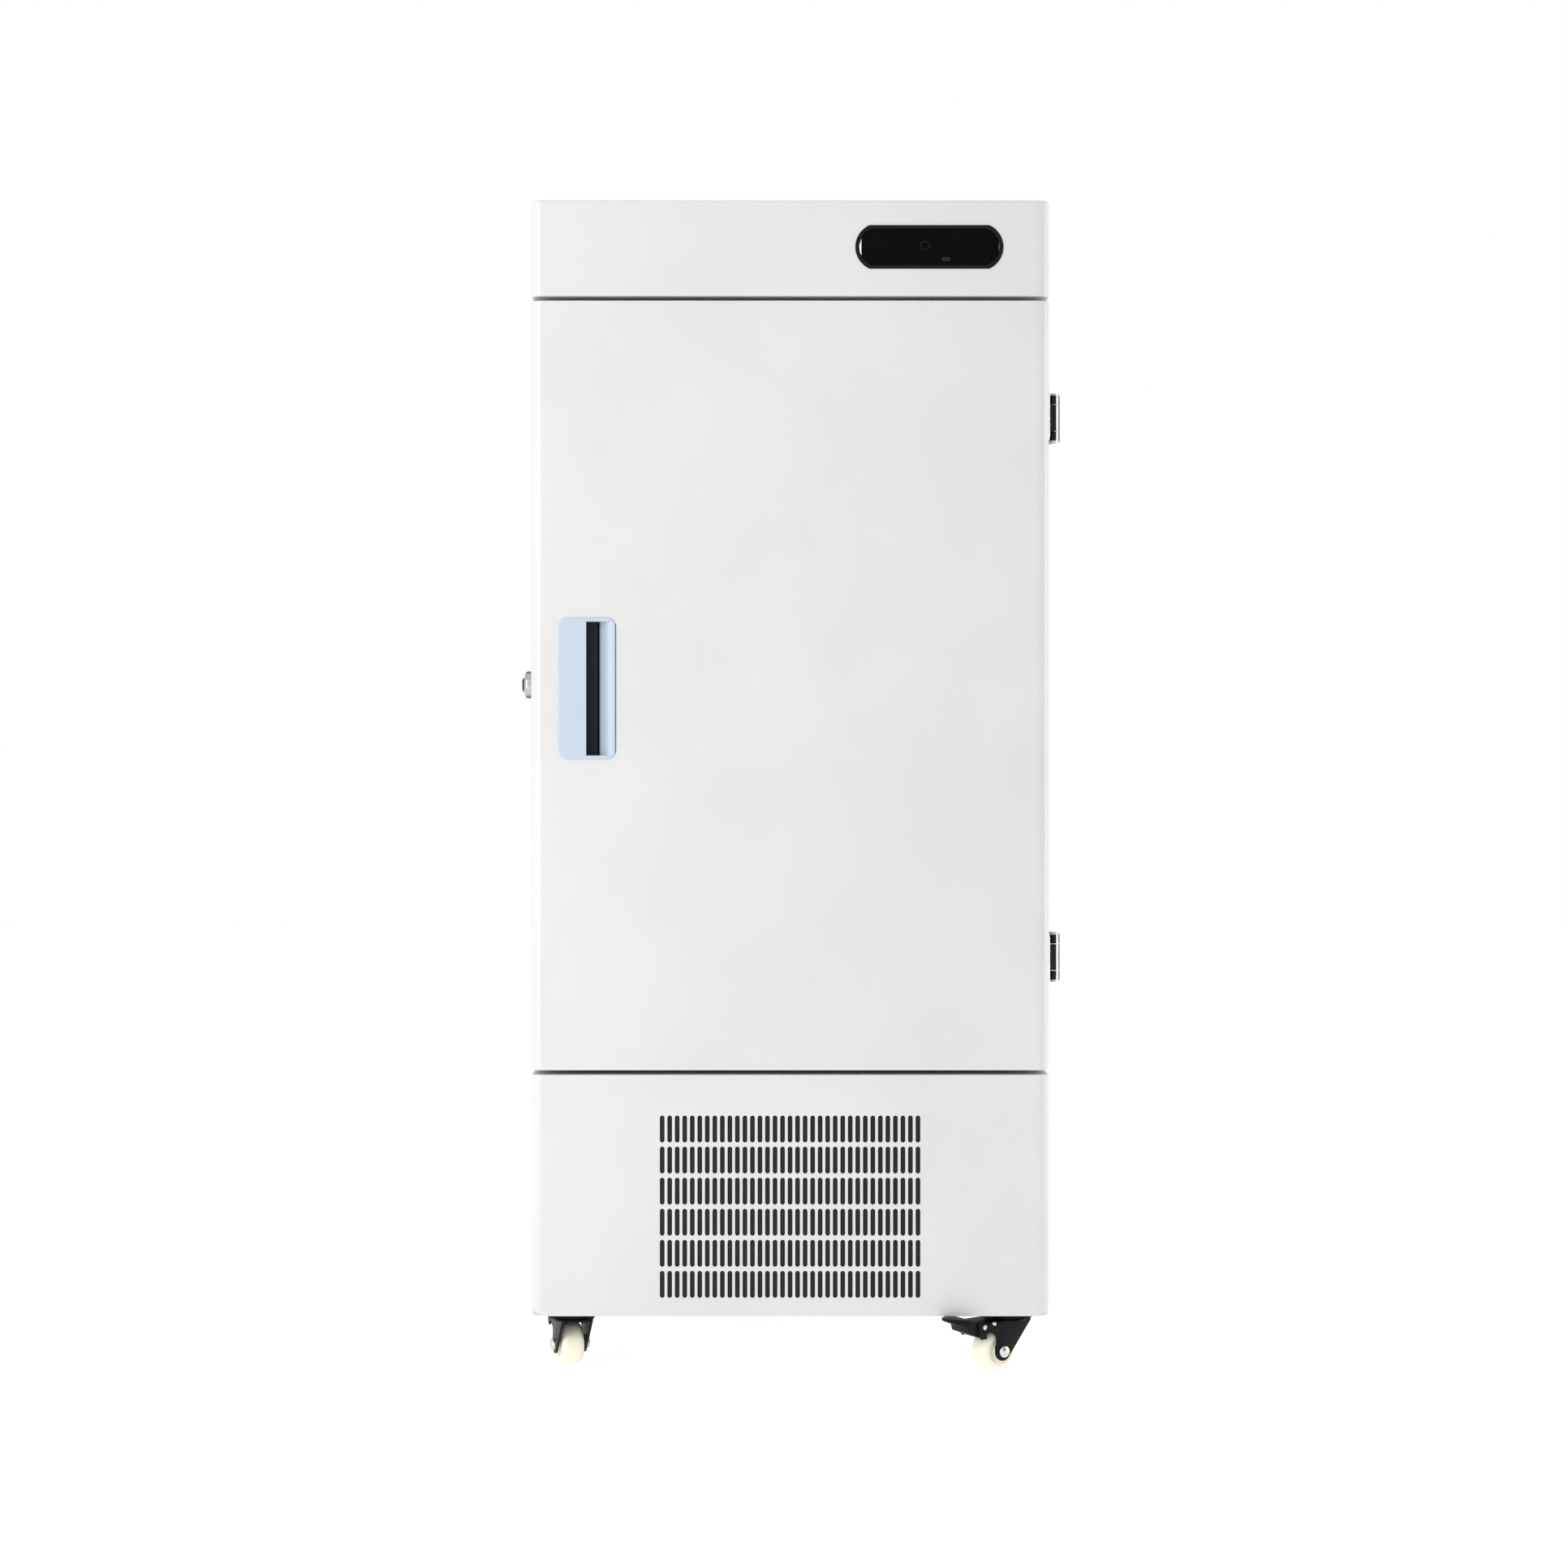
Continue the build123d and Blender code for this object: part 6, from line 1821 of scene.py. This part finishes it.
@dataclass
class Casters(SubAssembly):
    """Wheels with a rounded tread, black forks, axles, plates, bolts and pedals."""

    trail: float = 20.0
    wheel_radius: float = 25.0
    wheel_half: float = 13.5
    edge: float = 8.0
    hub_radius: float = 9.0
    hub_half: float = 15.7
    bore: float = 4.05
    outer: float = 18.5
    head_radius: float = 7.0
    head_height: float = 5.5
    nut_radius: float = 7.2
    nut_height: float = 4.5
    axle_radius: float = 4.0
    thread_end: float = 5.5
    cheek: float = 18.5
    sweep_from: float = 45.0
    sweep_length: float = 25.0
    sweep_rise: float = 4.5
    rivet_spots: tuple[Point2, Point2] = ((48.0, 56.0), (33.7, 58.5))

    def wheel(self, place: Place) -> None:
        """Draws one wheel: hub, dished web, and a tread that curves from side to side."""
        hub, width = self.hub_radius, self.wheel_half
        side = [(self.bore, self.hub_half), (hub - 0.6, self.hub_half), (hub, self.hub_half - 0.6)]
        side += [(hub + 0.3, width - 0.4), (hub + 1.2, width - 1.0)]
        side += [(14.6, width - 1.0), (15.6, width - 0.2), (16.4, width)]
        tread = arc((self.wheel_radius - self.edge, width - self.edge), self.edge, 90, 0, 10)
        half = [*side, *tread]
        profile = [(radius, -height) for radius, height in half] + [(self.wheel_radius, 0.35)]
        profile += [(radius, height) for radius, height in reversed(half)] + [(self.bore, -self.hub_half)]
        shell = Shell()
        shell.lathe(place.stand(self.trail, self.wheel_radius), profile, 72)
        name = f"caster_{place.label}_wheel"
        self.delivery.hand(name + "_tyre", shell.finish(), "wheel_ivory", self.body_of(name), [name], 50)

    def axle(self, place: Place) -> None:
        """Draws one axle: a domed head, the shank, its nut and the end of the thread."""
        stand = place.stand(self.trail, self.wheel_radius)
        shell = Shell()
        head, out, shank = self.head_radius, self.outer, self.axle_radius
        dome = ((0.0, 0.0), (0.3, 0.08), (0.55, 0.5), (0.78, 1.2), (0.93, 2.2), (1.0, 3.4))
        tip = out + self.thread_end
        profile = [(head * share, -out - self.head_height + fall) for share, fall in dome]
        profile += [(head, -out), (shank, -out), (shank, tip - 0.5), (shank - 0.6, tip), (0.0, tip)]
        shell.lathe(stand, profile, 40)
        nut = Shell()
        rows = []
        for share, height in ((0.94, 0.0), (1.0, 0.4), (1.0, self.nut_height - 0.5), (0.92, self.nut_height)):
            rows.append([stand.at(x * share, y * share, out + height) for x, y in hexagon(self.nut_radius)])
        nut.loft(rows, True, True)
        shell.mesh.from_mesh(nut.finish())
        name = f"caster_{place.label}_axle"
        self.delivery.hand(name + "_bolt", shell.finish(), "zinc_plating", self.body_of(name), [name], 28)

    def pedal(self, place: Place) -> None:
        """Draws one pedal, with its tip swept up to just under the panel."""
        name = f"brake_pedal_{place.label}"
        data = node_copy(self.nodes[name])
        base = place.stand()
        for vert in data.vertices:
            reach = (vert.co - base.origin).dot(base.right) - self.sweep_from
            if reach > 0:
                vert.co.z += self.sweep_rise * min(reach / self.sweep_length, 1.0)
        data = worked(data, [eased(0.5)])
        self.delivery.hand(name + "_finished", data, "caster_black", self.body_of(name), [name])

    def rivets(self) -> None:
        """Sets a ring rivet and a domed one in the near cheek of each braked fork."""
        ring = [(0.0, 0.5), (0.9, 0.5), (1.2, 1.1), (2.0, 1.3), (2.8, 0.9), (3.0, 0.0)]
        dome = [(0.0, 1.9), (1.2, 1.8), (2.1, 1.2), (2.6, 0.0)]
        for place in Place:
            if not place.braked:
                continue
            shell = Shell()
            for spot, profile in zip(self.rivet_spots, (ring, dome)):
                near = place.stand(*spot)
                shell.lathe(Stand(near.at(0.0, 0.0, -self.cheek), near.right, near.up * -1.0), profile, 24)
            name = f"caster_{place.label}_fork"
            self.delivery.hand(name + "_rivets", shell.finish(), "zinc_plating", self.body_of(name))

    def make(self) -> None:
        """Builds the four casters."""
        for place in Place:
            self.wheel(place)
            self.axle(place)
            self.refine(f"caster_{place.label}_fork", "caster_black", 0.55)
            if place.braked:
                self.pedal(place)
        self.refine("caster_plates", "caster_black", 0.4)
        self.refine("caster_bolts", "caster_black", 0.35)
        self.rivets()


@dataclass
class Case(SubAssembly):
    """Side panels, covers, rear panels and their screws."""

    rear: float = 330.0
    screw_line: float = 268.0
    upper_screws: tuple[float, ...] = (372.0, 610.0, 850.0, 1090.0, 1330.0)
    lower_screws: tuple[float, ...] = (84.0, 207.0, 330.0)
    middle_screws: Point2 = (1336.0, 84.0)

    def screws(self, name: str, levels: Sequence[float], middle: float) -> None:
        """Sets screws on the rear face, in a line on each side and one in the middle.

        Args:
            name: Name of the piece.
            levels: Heights of the screws in each line.
            middle: Height of the one in the middle.
        """
        spots = [(side * self.screw_line, z) for side in (1, -1) for z in levels]
        places = [(Vector((x, self.rear, z)), Vector((0, 1, 0))) for x, z in (*spots, (0.0, middle))]
        data = PlacedRepeat(name, cross_screw(3.8, 1.6), "zinc_plating").set(places)
        self.delivery.hand(name, data, "zinc_plating", "cabinet")

    def make(self) -> None:
        """Builds the case."""
        for node in ("left_side_panel", "right_side_panel", "top_cover", "rear_panel"):
            self.refine(node, "cabinet_white", 0.3)
        self.refine("rear_service_grille", "zinc_sheet", 0.3)
        self.refine("base_chassis", "zinc_sheet", 0.5)
        self.screws("rear_panel_screws", self.upper_screws, self.middle_screws[0])
        self.screws("service_grille_screws", self.lower_screws, self.middle_screws[1])


@dataclass
class Inside(SubAssembly):
    """Everything behind the panels, in its own finishes."""

    refined: tuple[tuple[str, str, float], ...] = (
        ("inner_liner", "brushed_steel", 0.0),
        ("breaker_frame", "frame_grey", 0.6),
        ("shelves", "shelf_steel", 0.0),
        ("evaporator_coil", "copper_tube", 0.0),
        ("temperature_probe", "brushed_steel", 0.3),
        ("air_filter", "filter_fibre", 0.6),
        ("condenser", "fin_pack", 0.3),
        ("fan_shroud", "moulded_black", 0.5),
        ("fan_motor", "moulded_black", 0.6),
        ("fan_impeller", "moulded_black", 0.5),
        ("compressor_high_stage", "caster_black", 1.2),
        ("compressor_low_stage", "caster_black", 1.2),
        ("compressor_grommets", "grommet_black", 0.8),
        ("refrigerant_lines", "copper_tube", 0.0),
        ("inner_door_brackets", "brushed_steel", 0.3),
        ("lock_keeper", "zinc_plating", 0.4),
        ("power_inlet", "moulded_black", 0.5),
        ("power_switch_rocker", "moulded_black", 0.5),
        ("inner_door_lower", "frame_grey", 1.2),
        ("inner_door_upper", "frame_grey", 1.2),
        ("door_inner_panel", "frame_grey", 0.8),
        ("door_gasket", "gasket_grey", 1.0),
        ("circuit_boards", "board_green", 0.2),
    )
    carried: tuple[tuple[str, str], ...] = (
        ("machine_deck", "zinc_sheet"),
        ("electronics_deck", "zinc_sheet"),
        ("insulation_foam", "rigid_foam"),
        ("door_foam", "rigid_foam"),
    )

    def make(self) -> None:
        """Builds the inner pieces and dresses the nodes that stay."""
        for node, finish, ease in self.refined:
            self.refine(node, finish, ease)
        for node, finish in self.carried:
            data = self.nodes[node].data
            data.materials.clear()
            data.materials.append(dress(finish))
            log.info("%s: %s", node, finish)


# Studio


@dataclass
class Studio:
    """Pale floor, soft lights and the camera at the photograph's viewpoint."""

    camera_place: Point3 = (-0.007, -3.33, 0.682)
    lens: float = 59.7
    sensor: float = 36.0
    floor_size: Point2 = (18.0, 18.0)
    floor_glow: float = 0.72

    def sheet(self, name: str, size: Point2, material: bpy.types.Material) -> bpy.types.Object:
        """Cuts a flat sheet, centred on its own origin.

        Args:
            name: Its name.
            size: Its width and height in metres.
            material: Its material.

        Returns:
            The sheet.
        """
        x, y = size[0] / 2, size[1] / 2
        data = bpy.data.meshes.new(name)
        data.from_pydata([(-x, -y, 0), (x, -y, 0), (x, y, 0), (-x, y, 0)], [], [(0, 1, 2, 3)])
        data.materials.append(material)
        made = bpy.data.objects.new(name, data)
        bpy.context.scene.collection.objects.link(made)
        return made

    def turn(self, thing: bpy.types.Object, place: Point3, aim: Point3) -> None:
        """Puts a thing in its place, facing a point and unseen by the camera."""
        thing.location = place
        thing.rotation_euler = (Vector(aim) - Vector(place)).to_track_quat("-Z", "Y").to_euler()
        thing.visible_camera = False

    def floor(self) -> None:
        """Lays a large pale floor that glows a little, as a lit white sweep does."""
        graph = Graph("studio_floor")
        tint = graph.blend((0.48, 0.48, 0.48), (0.52, 0.52, 0.52), graph.noise(900.0, 2.0))
        glow = {"emission_color": (1.0, 1.0, 1.0), "emission_strength": self.floor_glow}
        plane = self.sheet("floor", self.floor_size, graph.finish(base_color=tint, roughness=0.9, **glow))
        plane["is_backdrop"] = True

    def lamp(self, name: str, place: Point3, aim: Point3, size: Point2, power: float) -> None:
        """Hangs one soft lamp.

        Args:
            name: Its name.
            place: Where it hangs, in metres.
            aim: The point that it faces.
            size: Width and height of its face.
            power: Its power in watts.
        """
        data = bpy.data.lights.new(name, "AREA")
        data.shape = "RECTANGLE"
        data.size, data.size_y = size
        data.energy = power
        lamp = bpy.data.objects.new(name, data)
        self.turn(lamp, place, aim)
        bpy.context.scene.collection.objects.link(lamp)

    def screen(self, name: str, place: Point3, aim: Point3, size: Point2) -> None:
        """Stands up a dark screen that the camera doesn't see, for the soft dark line on the right edge.

        Args:
            name: Its name.
            place: Its middle, in metres.
            aim: The point that it faces.
            size: Its width and height.
        """
        graph = Graph("studio_screen")
        tint = graph.blend((0.02, 0.02, 0.02), (0.03, 0.03, 0.03), graph.noise(200.0))
        screen = self.sheet(name, size, graph.finish(base_color=tint, roughness=0.9))
        self.turn(screen, place, aim)
        screen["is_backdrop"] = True

    def sky(self, strength: float) -> None:
        """Sets an even white surround."""
        world = bpy.data.worlds.new("surround")
        world.use_nodes = True
        background = world.node_tree.nodes["Background"]
        background.inputs["Color"].default_value = (1.0, 1.0, 1.0, 1.0)
        background.inputs["Strength"].default_value = strength
        bpy.context.scene.world = world

    def camera(self) -> None:
        """Stands the camera where the photograph was taken from."""
        data = bpy.data.cameras.new("camera")
        data.sensor_width = self.sensor
        data.lens = self.lens
        view = bpy.data.objects.new("camera", data)
        view.location = self.camera_place
        view.rotation_euler = (math.pi / 2, 0, 0)
        bpy.context.scene.collection.objects.link(view)
        bpy.context.scene.camera = view

    def make(self) -> None:
        """Builds the studio."""
        self.camera()
        self.floor()
        self.sky(1.0)
        self.lamp("key", (-1.7, -2.0, 1.0), (-0.1, -0.33, 0.75), (0.7, 2.2), 22.0)
        self.lamp("rim", (3.0, 0.0, 0.9), (0.3, -0.3, 0.8), (0.4, 2.4), 30.0)
        self.screen("shade", (1.75, -1.75, 0.9), (0.2, -0.33, 0.9), (1.1, 2.6))


def corners(bounds: tuple[Vector, Vector]) -> list[list[float]]:
    """Two corners as plain numbers."""
    return [list(corner) for corner in bounds]


def main() -> None:
    """Builds the freezer round its frame."""
    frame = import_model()
    cad_box = corners(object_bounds())
    bpy.context.scene.view_settings.view_transform = "Standard"
    Studio().make()
    delivery = Delivery()
    groups = frame["record"]["behaviour"]["bodies"]
    for kind in (FrontPanels, Display, HandleRecess, SideLock, SideHinges, Casters, Case, Inside):
        kind(frame["nodes"], groups, delivery).make()
    log.info("%d pieces", delivery.count)
    {"cad": cad_box, "visual": corners(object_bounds())}


if __name__ == "__main__":
    main()
